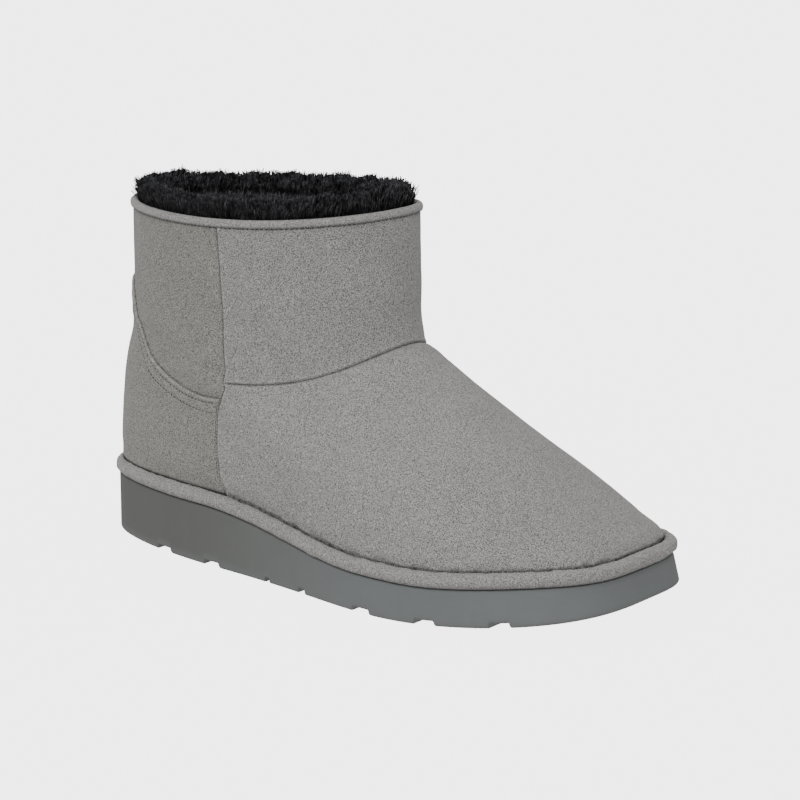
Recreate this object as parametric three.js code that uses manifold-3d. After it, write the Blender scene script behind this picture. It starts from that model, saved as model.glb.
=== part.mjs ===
// Pull-on winter boot for a right foot, ankle high. Millimetres, +Z up, the toe at +X,
// the outer side of the foot at -Y. It stands on its sole, with the ground at z = 0.
import * as THREE from 'three';
import { mergeVertices } from 'three/addons/utils/BufferGeometryUtils.js';
import Module from 'manifold-3d';

const solids = await Module();
solids.setup();

// Driving dimensions
const LENGTH = 286; // heel to toe along the ground edge of the sole
const TOE_END = 144.6; // x of the toe's end, measured from a point under the instep
const BALL_WIDTH = 112; // across the sole at the ball of the foot
const INSTEP_HEIGHT = 105.5; // ground to the vamp seam at the front of the ankle
const COLLAR_HEIGHT = 161.5; // ground to the top line, at its middle
const HEEL_HEIGHT = 27.6; // top of the sole under the heel
const BALL_HEIGHT = 16.7; // top of the sole under the ball
const TOE_HEIGHT = 23.5; // top of the sole at the toe
const WALL = 2.2; // suede of the upper
const GAP = 0.3; // air between pieces that meet
const PILE = 9.5; // thickness of the fur at the collar

// The ground edge of the sole: half widths at its middle, and what turns an oval into a foot's outline
const SOLE_EDGE = {
  back: TOE_END - LENGTH,
  front: TOE_END,
  lateral: 0.528 * BALL_WIDTH,
  medial: 0.487 * BALL_WIDTH,
  toe: 0.57, // power of the sine at the toe, lower is blunter
  heel: 0.74, // the same at the heel
  skew: 0.24, // wider at the ball than at the heel
  waistOut: 0.1, // the arch's hollow on the outer side
  waistIn: 0.16, // and on the inner side
  swing: 5.9, // the toe leans to the inner side
};
const WAIST_PLACE = -0.15; // cosine of the angle where the arch is narrowest
const WAIST_REACH = 0.38;
const TOE_FLARE = 2.8; // the toe's wall leans out to the ground by this much
const WEDGE = { from: -64, to: 39 }; // where the heel's height runs down to the ball's
const TOE_RISE_FROM = 60;
const SPRING = { from: 46.8, rise: 10.5, power: 1.68 }; // the forefoot leaves the ground here
const EDGE_ROUND = 1.6; // radius of the sole's ground edge
const LUG_DEPTH = 2.1;
const LUG_BEVEL = 0.22; // share of a groove's width that each slanted side takes

// The cross grooves between the lugs, by their middle along the length and their width
const GROOVE_COLUMNS = ['x', 'width'];
const GROOVES = [
  [-90.3, 11.3],
  [-56.7, 10.9],
  [-20.2, 3.2],
  [2.6, 4.9],
  [40.1, 10.8],
  [74.0, 11.0],
  [107.9, 9.4],
];

// The upper's horizontal sections. Height is in percent of the instep height, back and front are
// in percent of the length from its middle, half widths are in percent of the ball width.
const SLICE_COLUMNS = ['height', 'back', 'front', 'lateral', 'medial', 'toe', 'heel', 'skew', 'waist', 'swing'];
const SLICES = [
  [22.7, -48.7, 49.0, 48.7, 44.6, 0.60, 0.77, 0.24, 0.10, 5.6],
  [30.3, -48.7, 46.3, 48.5, 44.6, 0.63, 0.78, 0.24, 0.10, 5.4],
  [34.5, -48.8, 45.9, 48.3, 44.5, 0.66, 0.79, 0.23, 0.09, 5.2],
  [41.7, -49.0, 42.6, 47.9, 44.3, 0.71, 0.81, 0.20, 0.08, 5.0],
  [55.0, -49.1, 35.2, 46.6, 43.4, 0.82, 0.86, 0.16, 0.06, 4.0],
  [68.2, -48.9, 27.3, 44.8, 42.3, 0.92, 0.90, 0.13, 0.04, 3.0],
  [83.4, -48.0, 18.0, 43.0, 41.2, 0.97, 0.94, 0.10, 0.02, 1.8],
  [93.8, -47.0, 11.3, 42.1, 41.1, 1.00, 0.96, 0.09, 0.00, 1.0],
  [97.6, -46.9, 9.3, 42.0, 41.1, 1.00, 0.97, 0.09, 0.00, 0.8],
  [100.0, -47.0, 7.3, 42.0, 41.1, 1.00, 0.97, 0.09, 0.00, 0.6],
  [106.2, -47.1, 6.7, 41.9, 41.2, 1.00, 0.98, 0.10, 0.00, 0.3],
  [117.5, -47.3, 6.2, 42.0, 42.0, 1.00, 1.00, 0.11, 0.00, 0.0],
  [134.6, -47.3, 5.6, 42.6, 43.6, 1.00, 1.00, 0.13, 0.00, 0.0],
  [157.3, -47.1, 5.0, 43.4, 45.5, 1.00, 1.00, 0.15, 0.00, 0.0],
];

// The side seams, where the front panels meet the back panel: degrees round from the back
const SIDE_SEAM_COLUMNS = ['height', 'degrees'];
const SIDE_SEAM = [
  [30, 68],
  [45, 71],
  [54, 73.2],
  [64, 77.5],
  [74, 83.8],
  [79, 89.3],
  [87, 97],
  [93, 98.6],
  [157, 99],
];

// The vamp seam dips from the instep to the side seams: z = side + line * c + cube * c^3
const CREASE = { from: -0.6, full: 0.2 }; // cosines between which the instep's crease sets in
const VAMP_SEAM = { side: 86.1, line: 3, cube: 16.5 };

// The top edge of the heel counter: degrees round from the back, and height
const COUNTER_COLUMNS = ['degrees', 'height'];
const COUNTER_EDGE = [
  [0, 122.6],
  [12, 122.4],
  [20, 122],
  [25, 121],
  [30, 118.6],
  [34, 114.4],
  [38.5, 108.8],
  [43, 103.2],
  [47.5, 97],
  [52, 91.3],
  [58, 86],
  [65, 82],
  [72, 79.2],
  [79.5, 78.2],
  [90, 79],
];
const COUNTER_THICKNESS = 1.1;
const COUNTER_GAP = 0.6; // the facets of two curved faces stay clear of each other
const COUNTER_LIFT = 1.2; // its lower edge stands clear of the welt by this much

// The welt, a cloth-wrapped roll: its section from the sole's top edge, inward and up
const WELT_COLUMNS = ['inward', 'up'];
const WELT_SECTION = [
  [0.9, 0.3],
  [-0.9, 1.2],
  [-1.8, 3.1],
  [-1.4, 5.1],
  [0.0, 6.7],
  [2.2, 7.2],
  [4.0, 6.2],
  [4.0, 0.3],
];
const FEATHER = { inward: 4.3, heel: 2.7, up: 6.6 }; // where the upper comes out of the welt

// The top line climbs a little to the front and dips at both sides
const COLLAR = { middle: -60, forward: 0.037, dip: 2.3, halfWidth: 50 };

// The binding that rolls over the collar: its section from the upper's face, inward and up
const BINDING_COLUMNS = ['inward', 'up'];
const BINDING_SECTION = [
  [0.1, -3.0],
  [-0.8, -2.3],
  [-0.9, -1.0],
  [0.0, -0.1],
  [1.5, -0.1],
  [2.4, -1.0],
  [2.4, -3.0],
];
const RIM_DROP = 3.3; // the upper's raw edge ends this far below the top line

// The fur sleeve: its section from the upper's face, inward and up
const FUR_COLUMNS = ['inward', 'up'];
const FUR_SECTION = [
  [2.7, -46],
  [2.7, -25],
  [2.8, -4],
  [3.3, 1],
  [4.0, 4.6],
  [5.7, 7.2],
  [8.0, 8.0],
  [10.4, 7.2],
  [12.0, 4.6],
  [12.6, 0],
  [8.4, -46],
];
// Locks of fur stand on the sleeve's crown in rows: how far inward, how high, how many, their lean
const LOCK_COLUMNS = ['inward', 'up', 'count', 'lean'];
const LOCK_ROWS = [
  [6.0, 4.4, 24, -0.15],
  [9.8, 4.4, 20, 0.15],
];
const LOCK = { radius: 5.4, height: 8.2, ruffle: 0.9, sides: 5, sink: 2.8 };

const INSOLE = { inward: 7.0, thickness: 4.2, crown: 1.2 };

// Points round each ring: the back panel's on one side, then the front's, closer at heel and toe
const BACK_STEPS = 12;
const FRONT_STEPS = 19;
const BACK_CROWD = 1.15;
const FRONT_CROWD = 1.45;
const SIDE_STEPS = BACK_STEPS + FRONT_STEPS;
const RING = 2 * SIDE_STEPS;
const VAMP_ROWS = 8;
const SHAFT_ROWS = 5;
const ROW_CROWD = 1.25;
const COUNTER_CROWD = 1.5;
const SEAM = { depth: 0.8, reach: 3 };

const COLOURS = {
  foam: { color: 0x6c6e6c, roughness: 0.72 },
  suede: { color: 0x8f8e8a, roughness: 0.95 },
  counter: { color: 0x8b8883, roughness: 0.95 },
  welt: { color: 0x949390, roughness: 0.93 },
  binding: { color: 0x9a9995, roughness: 0.93 },
  fur: { color: 0x141415, roughness: 1.0 },
  footbed: { color: 0x1d1d1e, roughness: 1.0 },
};

/** The column called name of a table's row. */
function cell(columns, row, name) {
  return row[columns.indexOf(name)];
}

/** A smooth step from 0 at the first edge to 1 at the second. */
function ease(from, to, value) {
  return THREE.MathUtils.smoothstep(value, from, to);
}

/** A curve through a table's rows that never overshoots them (monotone cubic pieces). */
function tableCurve(rows, keyIndex, valueIndex, scaleKey = 1, scaleValue = 1) {
  const keys = rows.map((row) => row[keyIndex] * scaleKey);
  const values = rows.map((row) => row[valueIndex] * scaleValue);
  const slopes = keys.slice(1).map((key, i) => (values[i + 1] - values[i]) / (key - keys[i]));
  const tangents = values.map((_, i) => {
    if (i === 0) return slopes[0];
    if (i === slopes.length) return slopes[i - 1];
    const product = slopes[i - 1] * slopes[i];
    return product <= 0 ? 0 : (2 * product) / (slopes[i - 1] + slopes[i]);
  });
  const last = keys.length - 1;
  return (key) => {
    const at = THREE.MathUtils.clamp(key, keys[0], keys[last]);
    let i = 0;
    while (i < last - 1 && at > keys[i + 1]) i += 1;
    const span = keys[i + 1] - keys[i];
    const u = (at - keys[i]) / span;
    const v = 1 - u;
    return values[i] * (1 + 2 * u) * v * v + values[i + 1] * (1 + 2 * v) * u * u
      + span * u * v * (tangents[i] * v - tangents[i + 1] * u);
  };
}

const sliceScale = {
  back: LENGTH / 100,
  front: LENGTH / 100,
  lateral: BALL_WIDTH / 100,
  medial: BALL_WIDTH / 100,
};
const sliceCurves = Object.fromEntries(SLICE_COLUMNS.slice(1).map((name) => [
  name,
  tableCurve(SLICES, 0, SLICE_COLUMNS.indexOf(name), INSTEP_HEIGHT / 100, sliceScale[name] ?? 1),
]));
const sideSeamDegrees = tableCurve(
  SIDE_SEAM,
  SIDE_SEAM_COLUMNS.indexOf('height'),
  SIDE_SEAM_COLUMNS.indexOf('degrees'),
);
const counterEdge = tableCurve(
  COUNTER_EDGE,
  COUNTER_COLUMNS.indexOf('degrees'),
  COUNTER_COLUMNS.indexOf('height'),
);

/** One point of a foot-shaped outline. The angle is 0 at the toe, negative on the outer side. */
function outlinePoint(angle, form) {
  const c = Math.cos(angle);
  const s = Math.sin(angle);
  const power = THREE.MathUtils.lerp(form.heel, form.toe, (1 + c) / 2);
  const waist = s < 0 ? form.waistOut : form.waistIn;
  const hollow = waist * Math.exp(-(((c - WAIST_PLACE) / WAIST_REACH) ** 2));
  const half = (s < 0 ? form.lateral : form.medial) * (1 + form.skew * c - hollow);
  const x = (form.front + form.back) / 2 + ((form.front - form.back) / 2) * c;
  const y = Math.sign(s) * half * Math.abs(s) ** power + form.swing * c ** 3;
  return new THREE.Vector2(x, y);
}

/** The sole's outline, moved inward, at a share of the wall's height (0 at the ground). */
function solePoint(angle, inward, share) {
  const step = 0.02;
  const along = outlinePoint(angle + step, SOLE_EDGE).sub(outlinePoint(angle - step, SOLE_EDGE)).normalize();
  const flare = TOE_FLARE * share * ease(0.2, 1, Math.cos(angle));
  const outward = new THREE.Vector2(along.y, -along.x);
  return outlinePoint(angle, SOLE_EDGE).addScaledVector(outward, -inward - flare);
}

/** Height of the sole's upper face at x: a wedge from heel to ball, then up to the toe. */
function soleTop(x) {
  const heelToBall = (BALL_HEIGHT - HEEL_HEIGHT) * ease(WEDGE.from, WEDGE.to, x);
  const ballToToe = (TOE_HEIGHT - BALL_HEIGHT) * ease(TOE_RISE_FROM, TOE_END, x);
  return HEEL_HEIGHT + heelToBall + ballToToe;
}

/** Height of the sole's ground face at x: flat from the heel to the ball, then the toe spring. */
function soleBottom(x) {
  const share = THREE.MathUtils.clamp((x - SPRING.from) / (TOE_END - SPRING.from), 0, 1);
  return SPRING.rise * share ** SPRING.power;
}

/** Height of the top line over a point of the collar. */
function collarHeight(point) {
  const climb = COLLAR.forward * (point.x - COLLAR.middle);
  return COLLAR_HEIGHT + climb - COLLAR.dip * (point.y / COLLAR.halfWidth) ** 2;
}

/** Height of the vamp seam at an angle: highest at the instep, level behind the side seams. */
function vampSeam(angle) {
  const c = Math.max(Math.cos(angle), 0);
  return VAMP_SEAM.side + VAMP_SEAM.line * c + VAMP_SEAM.cube * c ** 3;
}

/** How far the upper stands in from the sole's edge: less at the heel. */
function featherInward(angle) {
  return THREE.MathUtils.lerp(FEATHER.inward, FEATHER.heel, ease(0.5, 1, -Math.cos(angle)));
}

/** The line where the upper comes out of the welt. */
function featherPoint(angle) {
  const point = solePoint(angle, featherInward(angle), 1);
  return new THREE.Vector3(point.x, point.y, soleTop(point.x) + FEATHER.up);
}

/** A point of the upper's outer face before its seams are pressed in. */
function formPoint(angle, z) {
  // The crease between shaft and vamp follows the seam down the sides, so the sections shift with it
  const seam = vampSeam(angle);
  const dip = vampSeam(0) - seam;
  const near = z < seam ? ease(45, seam, z) : 1 - ease(seam, 140, z);
  const height = z + dip * near * ease(CREASE.from, CREASE.full, Math.cos(angle));
  const form = Object.fromEntries(Object.entries(sliceCurves).map(([name, at]) => [name, at(height)]));
  const section = outlinePoint(angle, { ...form, waistOut: form.waist, waistIn: form.waist * 1.5 });
  const feather = featherPoint(angle);
  const free = ease(0, 9, z - feather.z);
  return new THREE.Vector3(
    THREE.MathUtils.lerp(feather.x, section.x, free),
    THREE.MathUtils.lerp(feather.y, section.y, free),
    z,
  );
}

/** Outward direction of the upper's face. */
function formNormal(angle, z) {
  const step = 0.02;
  const along = formPoint(angle + step, z).sub(formPoint(angle - step, z));
  const up = formPoint(angle, z + 0.5).sub(formPoint(angle, z - 0.5));
  return along.cross(up).normalize();
}

/** A point of the upper moved out along its face, or inward where out is negative. */
function upperPoint(angle, z, out, level = false) {
  const normal = formNormal(angle, z);
  if (level) normal.setZ(0).normalize();
  return formPoint(angle, z).addScaledVector(normal, out);
}

/** A point beside the collar: inward from the upper's face and up from the top line. */
function collarPoint(angle, inward, up) {
  let z = COLLAR_HEIGHT;
  for (let pass = 0; pass < 3; pass += 1) z = collarHeight(formPoint(angle, z));
  const point = upperPoint(angle, Math.min(z + up, z), -inward, true);
  point.z = z + up;
  return point;
}

/** Angle of the ring's point i at height z. Point 0 is the back, the toe is half way round. */
function ringAngle(i, z) {
  const step = Math.min(i, RING - i);
  const side = THREE.MathUtils.degToRad(sideSeamDegrees(z));
  const angle = step <= BACK_STEPS
    ? Math.PI - side * (step / BACK_STEPS) ** BACK_CROWD
    : (Math.PI - side) * ((SIDE_STEPS - step) / FRONT_STEPS) ** FRONT_CROWD;
  return i <= SIDE_STEPS ? -angle : angle;
}

/** A ring of points, one for each step round the boot. */
function ring(pointAt) {
  return Array.from({ length: RING }, (_, i) => pointAt(i));
}

/** A mesh's geometry from points and triangles. */
function surface(points, triangles) {
  const geometry = new THREE.BufferGeometry();
  geometry.setAttribute('position', new THREE.Float32BufferAttribute(points.flatMap((p) => [p.x, p.y, p.z]), 3));
  geometry.setIndex(triangles);
  return geometry;
}

/** Triangles between two neighbouring rings, whose first points have these numbers. */
function band(lower, upper, count) {
  const triangles = [];
  for (let i = 0; i < count; i += 1) {
    const next = (i + 1) % count;
    triangles.push(lower + i, lower + next, upper + next);
    triangles.push(lower + i, upper + next, upper + i);
  }
  return triangles;
}

/** Triangles that close a ring with strips across it, from each point to its partner. */
function strips(first, steps, partner, facesUp) {
  const triangles = [];
  for (let i = 0; i < steps; i += 1) {
    const corners = [i, i + 1, partner(i + 1), partner(i)];
    const halves = [[corners[0], corners[1], corners[2]], [corners[0], corners[2], corners[3]]];
    for (const half of halves) {
      if (new Set(half).size < 3) continue;
      const turned = facesUp ? half : [...half].reverse();
      triangles.push(...turned.map((corner) => first + corner));
    }
  }
  return triangles;
}

/** A closed surface through rings that come back to the first, as a bent tube does. */
function tube(rings) {
  const count = rings[0].length;
  const triangles = rings.flatMap((_, k) => band(k * count, ((k + 1) % rings.length) * count, count));
  return surface(rings.flat(), triangles);
}

/** A closed surface through rings stacked from the bottom up, with strips across both ends. */
function stack(rings, steps, partner) {
  const count = rings[0].length;
  const last = (rings.length - 1) * count;
  const walls = rings.slice(1).flatMap((_, k) => band(k * count, (k + 1) * count, count));
  return surface(rings.flat(), [
    ...walls,
    ...strips(0, steps, partner, false),
    ...strips(last, steps, partner, true),
  ]);
}

/** The point across the boot from a ring's point. */
function across(i) {
  return (RING - i) % RING;
}

/** A closed solid for cutting and joining, from a closed geometry. */
function solidOf(geometry) {
  const bare = geometry.clone();
  bare.deleteAttribute('normal');
  bare.deleteAttribute('uv');
  const merged = mergeVertices(bare, 1e-4);
  return new solids.Manifold(new solids.Mesh({
    numProp: 3,
    vertProperties: new Float32Array(merged.getAttribute('position').array),
    triVerts: new Uint32Array(merged.getIndex().array),
  }));
}

/** A geometry from a solid. */
function geometryOf(solid) {
  const mesh = solid.getMesh();
  const geometry = new THREE.BufferGeometry();
  geometry.setAttribute('position', new THREE.BufferAttribute(mesh.vertProperties, 3));
  geometry.setIndex(new THREE.BufferAttribute(mesh.triVerts, 1));
  return geometry;
}

/** The outsole: a wedge with its true outline and toe spring, and cross grooves between its lugs. */
function makeOutsole() {
  // From the ground up: how far inward of the edge, share of the wall's height, and a rise in mm
  const levels = [
    [EDGE_ROUND, 0, 0],
    [0.3 * EDGE_ROUND, 0, 0.3 * EDGE_ROUND],
    [0, 0, EDGE_ROUND],
    [0, 0.5, 0],
    [0, 1, -0.8],
    [0.8, 1, 0],
  ];
  const rings = levels.map(([inward, share, rise]) => ring((i) => {
    const point = solePoint(ringAngle(i, HEEL_HEIGHT), inward, share);
    const z = THREE.MathUtils.lerp(soleBottom(point.x), soleTop(point.x), share) + rise;
    return new THREE.Vector3(point.x, point.y, z);
  }));
  let sole = solidOf(stack(rings, SIDE_STEPS, across));
  for (const row of GROOVES) sole = sole.subtract(solidOf(grooveCutter(row)));
  return geometryOf(sole);
}

/** A bar across the whole sole, with slanted sides, that cuts one groove. */
function grooveCutter(row) {
  const x = cell(GROOVE_COLUMNS, row, 'x');
  const width = cell(GROOVE_COLUMNS, row, 'width');
  const bevel = LUG_BEVEL * width;
  const below = 4;
  const section = new THREE.Shape([
    new THREE.Vector2(-width / 2 - bevel, -below),
    new THREE.Vector2(width / 2 + bevel, -below),
    new THREE.Vector2(width / 2, 0),
    new THREE.Vector2(width / 2 - bevel, LUG_DEPTH),
    new THREE.Vector2(-width / 2 + bevel, LUG_DEPTH),
    new THREE.Vector2(-width / 2, 0),
  ]);
  const reach = 2 * BALL_WIDTH;
  const bar = new THREE.ExtrudeGeometry(section, { depth: reach, bevelEnabled: false });
  bar.translate(0, 0, -reach / 2);
  bar.rotateX(Math.PI / 2);
  bar.rotateY(-Math.atan((soleBottom(x + 1) - soleBottom(x - 1)) / 2));
  bar.translate(x, 0, soleBottom(x));
  return bar;
}

/** The welt: a roll that lies on the sole's edge all the way round the upper. */
function makeWelt() {
  const rings = WELT_SECTION.map((row) => ring((i) => {
    const angle = ringAngle(i, HEEL_HEIGHT);
    const inward = cell(WELT_COLUMNS, row, 'inward');
    const squeeze = inward > 0 ? featherInward(angle) / FEATHER.inward : 1;
    const point = solePoint(angle, inward * squeeze, 1);
    return new THREE.Vector3(point.x, point.y, soleTop(point.x) + cell(WELT_COLUMNS, row, 'up'));
  }));
  return tube(rings);
}

/** The upper's rows from the sole to the collar: height at a ring's point, and whether it is a rim. */
function upperRows() {
  const footOf = (i) => soleTop(featherPoint(ringAngle(i, HEEL_HEIGHT)).x) + GAP;
  const featherOf = (i) => featherPoint(ringAngle(i, HEEL_HEIGHT)).z;
  const seamOf = (i) => vampSeam(ringAngle(i, VAMP_SEAM.side));
  const rimOf = (i) => collarPoint(ringAngle(i, COLLAR_HEIGHT), 0, -RIM_DROP).z;
  const between = (low, high, share) => (i) => THREE.MathUtils.lerp(low(i), high(i), share);
  const underSeam = (i) => seamOf(i) - SEAM.reach;
  const overSeam = (i) => seamOf(i) + SEAM.reach;
  const vamp = Array.from({ length: VAMP_ROWS + 1 }, (_, k) => (
    between(featherOf, underSeam, (k / VAMP_ROWS) ** ROW_CROWD)
  ));
  const shaft = Array.from({ length: SHAFT_ROWS + 1 }, (_, k) => between(overSeam, rimOf, k / SHAFT_ROWS));
  return [footOf, ...vamp, seamOf, ...shaft];
}

/** How far a seam presses the upper's face in at a row and a ring's point. */
function seamPress(row, i) {
  const step = Math.min(i, RING - i);
  const inFront = Math.cos(ringAngle(i, VAMP_SEAM.side)) > 0;
  const onVampSeam = row === VAMP_ROWS + 2 && inFront;
  const onSideSeam = step === BACK_STEPS && row > 1;
  return onVampSeam || onSideSeam ? SEAM.depth : 0;
}

/** The upper: shaft, vamp and back panel as one hollow wall, open at the collar and underneath. */
function makeUpper() {
  const rows = upperRows();
  const face = (out) => rows.map((heightAt, row) => ring((i) => {
    const z = heightAt(i);
    const isRim = row < 2 || row === rows.length - 1;
    const press = out === 0 ? seamPress(row, i) : 0;
    return upperPoint(ringAngle(i, z), z, out - press, isRim);
  }));
  return tube([...face(0), ...face(-WALL).reverse()]);
}

/** Height of the counter's top edge on the ring's line at this many steps from the back. */
function counterTop(steps) {
  let low = HEEL_HEIGHT;
  let high = COLLAR_HEIGHT;
  for (let pass = 0; pass < 24; pass += 1) {
    const z = (low + high) / 2;
    const degrees = 180 - THREE.MathUtils.radToDeg(ringAngle(RING - steps, z));
    if (z < counterEdge(degrees)) low = z;
    else high = z;
  }
  return low;
}

/** The heel counter: a patch on the back of the upper, from side seam to side seam. */
function makeHeelCounter() {
  const columns = 2 * BACK_STEPS;
  const rowCount = 9;
  const seamSide = BACK_STEPS - 0.15;
  const spot = (j, share, out) => {
    const steps = THREE.MathUtils.clamp(j - BACK_STEPS, -seamSide, seamSide);
    const line = steps < 0 ? RING + steps : steps;
    const low = featherPoint(ringAngle(line, HEEL_HEIGHT)).z + COUNTER_LIFT;
    const z = THREE.MathUtils.lerp(low, counterTop(Math.abs(steps)), share);
    return upperPoint(ringAngle(line, z), z, out, share === 0);
  };
  const rings = Array.from({ length: rowCount + 1 }, (_, k) => {
    const share = (k / rowCount) ** COUNTER_CROWD;
    const outer = Array.from({ length: columns + 1 }, (__, j) => spot(j, share, COUNTER_GAP + COUNTER_THICKNESS));
    const inner = Array.from({ length: columns + 1 }, (__, j) => spot(columns - j, share, COUNTER_GAP));
    return [...outer, ...inner];
  });
  return stack(rings, columns, (i) => 2 * columns + 1 - i);
}

/** The binding: a rolled strip on the upper's raw edge. */
function makeCollarBinding() {
  return tube(BINDING_SECTION.map((row) => ring((i) => collarPoint(
    ringAngle(i, COLLAR_HEIGHT),
    cell(BINDING_COLUMNS, row, 'inward'),
    cell(BINDING_COLUMNS, row, 'up'),
  ))));
}

/** The fur: a thick sleeve inside the collar that stands above it, with locks on its crown. */
function makeFurLining() {
  const rings = FUR_SECTION.map((row) => ring((i) => collarPoint(
    ringAngle(i, COLLAR_HEIGHT),
    cell(FUR_COLUMNS, row, 'inward'),
    cell(FUR_COLUMNS, row, 'up'),
  )));
  let fur = solidOf(tube(rings));
  for (const row of LOCK_ROWS) {
    const count = cell(LOCK_COLUMNS, row, 'count');
    for (let k = 0; k < count; k += 1) fur = fur.add(solidOf(furLock(row, k)));
  }
  return geometryOf(fur);
}

/** One broad lock of a row, leaning in or out and ruffled along the row. */
function furLock(row, k) {
  const inward = cell(LOCK_COLUMNS, row, 'inward');
  const angle = (2 * Math.PI * (k + inward / PILE)) / cell(LOCK_COLUMNS, row, 'count');
  const ruffle = Math.sin(7.3 * k + 2.1 * inward) * LOCK.ruffle;
  const height = LOCK.height + ruffle;
  const lock = new THREE.ConeGeometry(LOCK.radius, height, LOCK.sides);
  lock.rotateX(Math.PI / 2);
  lock.translate(0, 0, height / 2);
  const root = collarPoint(angle, inward, cell(LOCK_COLUMNS, row, 'up') - LOCK.sink);
  const outward = upperPoint(angle, COLLAR_HEIGHT, 1, true).sub(upperPoint(angle, COLLAR_HEIGHT, 0, true));
  const lean = -cell(LOCK_COLUMNS, row, 'lean');
  const sideways = new THREE.Vector3(-outward.y, outward.x, 0).multiplyScalar(0.2 * Math.sin(4.7 * k));
  const direction = new THREE.Vector3(0, 0, 1).addScaledVector(outward, lean).add(sideways).normalize();
  lock.applyQuaternion(new THREE.Quaternion().setFromUnitVectors(new THREE.Vector3(0, 0, 1), direction));
  lock.translate(root.x, root.y, root.z);
  return lock;
}

/** The insole: a soft board on the sole, inside the upper. */
function makeInsole() {
  const levels = [
    [0, GAP],
    [0, INSOLE.thickness - INSOLE.crown],
    [INSOLE.crown, INSOLE.thickness],
  ];
  const rings = levels.map(([inward, up]) => ring((i) => {
    const point = solePoint(ringAngle(i, HEEL_HEIGHT), INSOLE.inward + inward, 1);
    return new THREE.Vector3(point.x, point.y, soleTop(point.x) + up);
  }));
  return stack(rings, SIDE_STEPS, across);
}

const pieces = [
  ['outsole', makeOutsole(), COLOURS.foam],
  ['welt', makeWelt(), COLOURS.welt],
  ['upper', makeUpper(), COLOURS.suede],
  ['heel_counter', makeHeelCounter(), COLOURS.counter],
  ['collar_binding', makeCollarBinding(), COLOURS.binding],
  ['fur_lining', makeFurLining(), COLOURS.fur],
  ['insole', makeInsole(), COLOURS.footbed],
];

const boot = new THREE.Group();
for (const [name, geometry, { color, roughness }] of pieces) {
  const mesh = new THREE.Mesh(geometry, new THREE.MeshStandardMaterial({ color, roughness, metalness: 0 }));
  mesh.name = name;
  boot.add(mesh);
}

// The origin is under the middle of the boot's box, on the ground
const box = new THREE.Box3().setFromObject(boot);
boot.position.set(-(box.min.x + box.max.x) / 2, -(box.min.y + box.max.y) / 2, -box.min.z);

export default boot;
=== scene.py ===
"""A low winter boot for the right foot: napped suede, deep fur and a foam-rubber sole."""
import logging
import math
from dataclasses import dataclass, field
from enum import Enum
from typing import NamedTuple

import bpy
import numpy as np
from mathutils import Matrix, Vector


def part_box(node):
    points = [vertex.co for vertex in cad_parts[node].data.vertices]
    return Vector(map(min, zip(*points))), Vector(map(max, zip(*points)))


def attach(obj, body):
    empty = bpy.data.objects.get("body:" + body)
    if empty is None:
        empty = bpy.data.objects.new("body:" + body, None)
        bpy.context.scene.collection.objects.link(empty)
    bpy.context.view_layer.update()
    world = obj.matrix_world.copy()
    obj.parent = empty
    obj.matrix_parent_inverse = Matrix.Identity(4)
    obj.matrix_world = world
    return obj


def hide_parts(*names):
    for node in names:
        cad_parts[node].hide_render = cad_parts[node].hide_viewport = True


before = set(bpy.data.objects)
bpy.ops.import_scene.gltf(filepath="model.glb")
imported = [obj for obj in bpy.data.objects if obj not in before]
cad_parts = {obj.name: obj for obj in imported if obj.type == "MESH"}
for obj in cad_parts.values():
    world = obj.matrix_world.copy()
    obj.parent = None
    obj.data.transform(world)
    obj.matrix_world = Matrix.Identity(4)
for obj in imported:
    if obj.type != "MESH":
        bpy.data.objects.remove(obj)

MM = 0.001
BODY = "root"
NOISE_LOW, NOISE_HIGH = 0.3, 0.7  # most values of a noise texture lie between these
Array = np.ndarray
log = logging.getLogger("boot")


# Numbers and curves

def ease(low: Array | float, high: Array | float, value: Array | float) -> Array:
    """Return a smooth step from 0 at low to 1 at high."""
    share = np.clip((value - low) / (high - low), 0.0, 1.0)
    return share * share * (3.0 - 2.0 * share)


def bell(distance: Array | float, reach: float) -> Array:
    """Return a soft bump that is 1 at no distance and fades over the reach."""
    return np.exp(-(distance / reach) ** 2)


def mix(low: Array | float, high: Array | float, share: Array | float) -> Array:
    """Return the value a share of the way from low to high."""
    return low + (high - low) * share


class Ridge(NamedTuple):
    """A soft ridge beside a line, or a trough where its height is below 0, in mm."""

    place: float
    reach: float
    height: float


def ridges(distance: Array | float, rows: tuple[Ridge, ...]) -> Array:
    """Return the summed height of ridges at each distance from their line."""
    return sum(row.height * bell(distance - row.place, row.reach) for row in rows)


def ripple(points: Array, size: float, seed: int, waves: int = 9) -> Array:
    """Return a smooth uneven field over points, made of a few crossing waves.

    Args:
        points: Places in mm, with the last axis x, y, z.
        size: Rough distance between two bumps, in mm.
        seed: Seed of the waves' directions.
        waves: How many waves cross.

    Returns:
        Values from about -1 to 1, one for each point.
    """
    draw = np.random.default_rng(seed)
    ways = draw.normal(size=(waves, 3))
    ways /= np.linalg.norm(ways, axis=1)[:, None]
    pitch = 2.0 * math.pi / (size * draw.uniform(0.7, 1.5, waves))
    start = draw.uniform(0.0, 2.0 * math.pi, waves)
    total = np.zeros(points.shape[:-1])
    for way, rate, phase in zip(ways, pitch, start):
        total += np.sin((points @ way) * rate + phase)
    return total / math.sqrt(2.0 * waves)


class Wave(NamedTuple):
    """A layer of an uneven surface: its height, the rough size of its bumps in mm, and its seed."""

    height: float
    size: float
    seed: int


def layered(points: Array, rows: tuple[Wave, ...]) -> Array:
    """Return the summed height of layers of waves at each point."""
    return sum(row.height * ripple(points, row.size, row.seed) for row in rows)


def from_middle(points: Array) -> Array:
    """Return each point's direction away from the middle of its column of the grid."""
    away = points - points.mean(0)
    return away / np.linalg.norm(away, axis=-1, keepdims=True)


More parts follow.
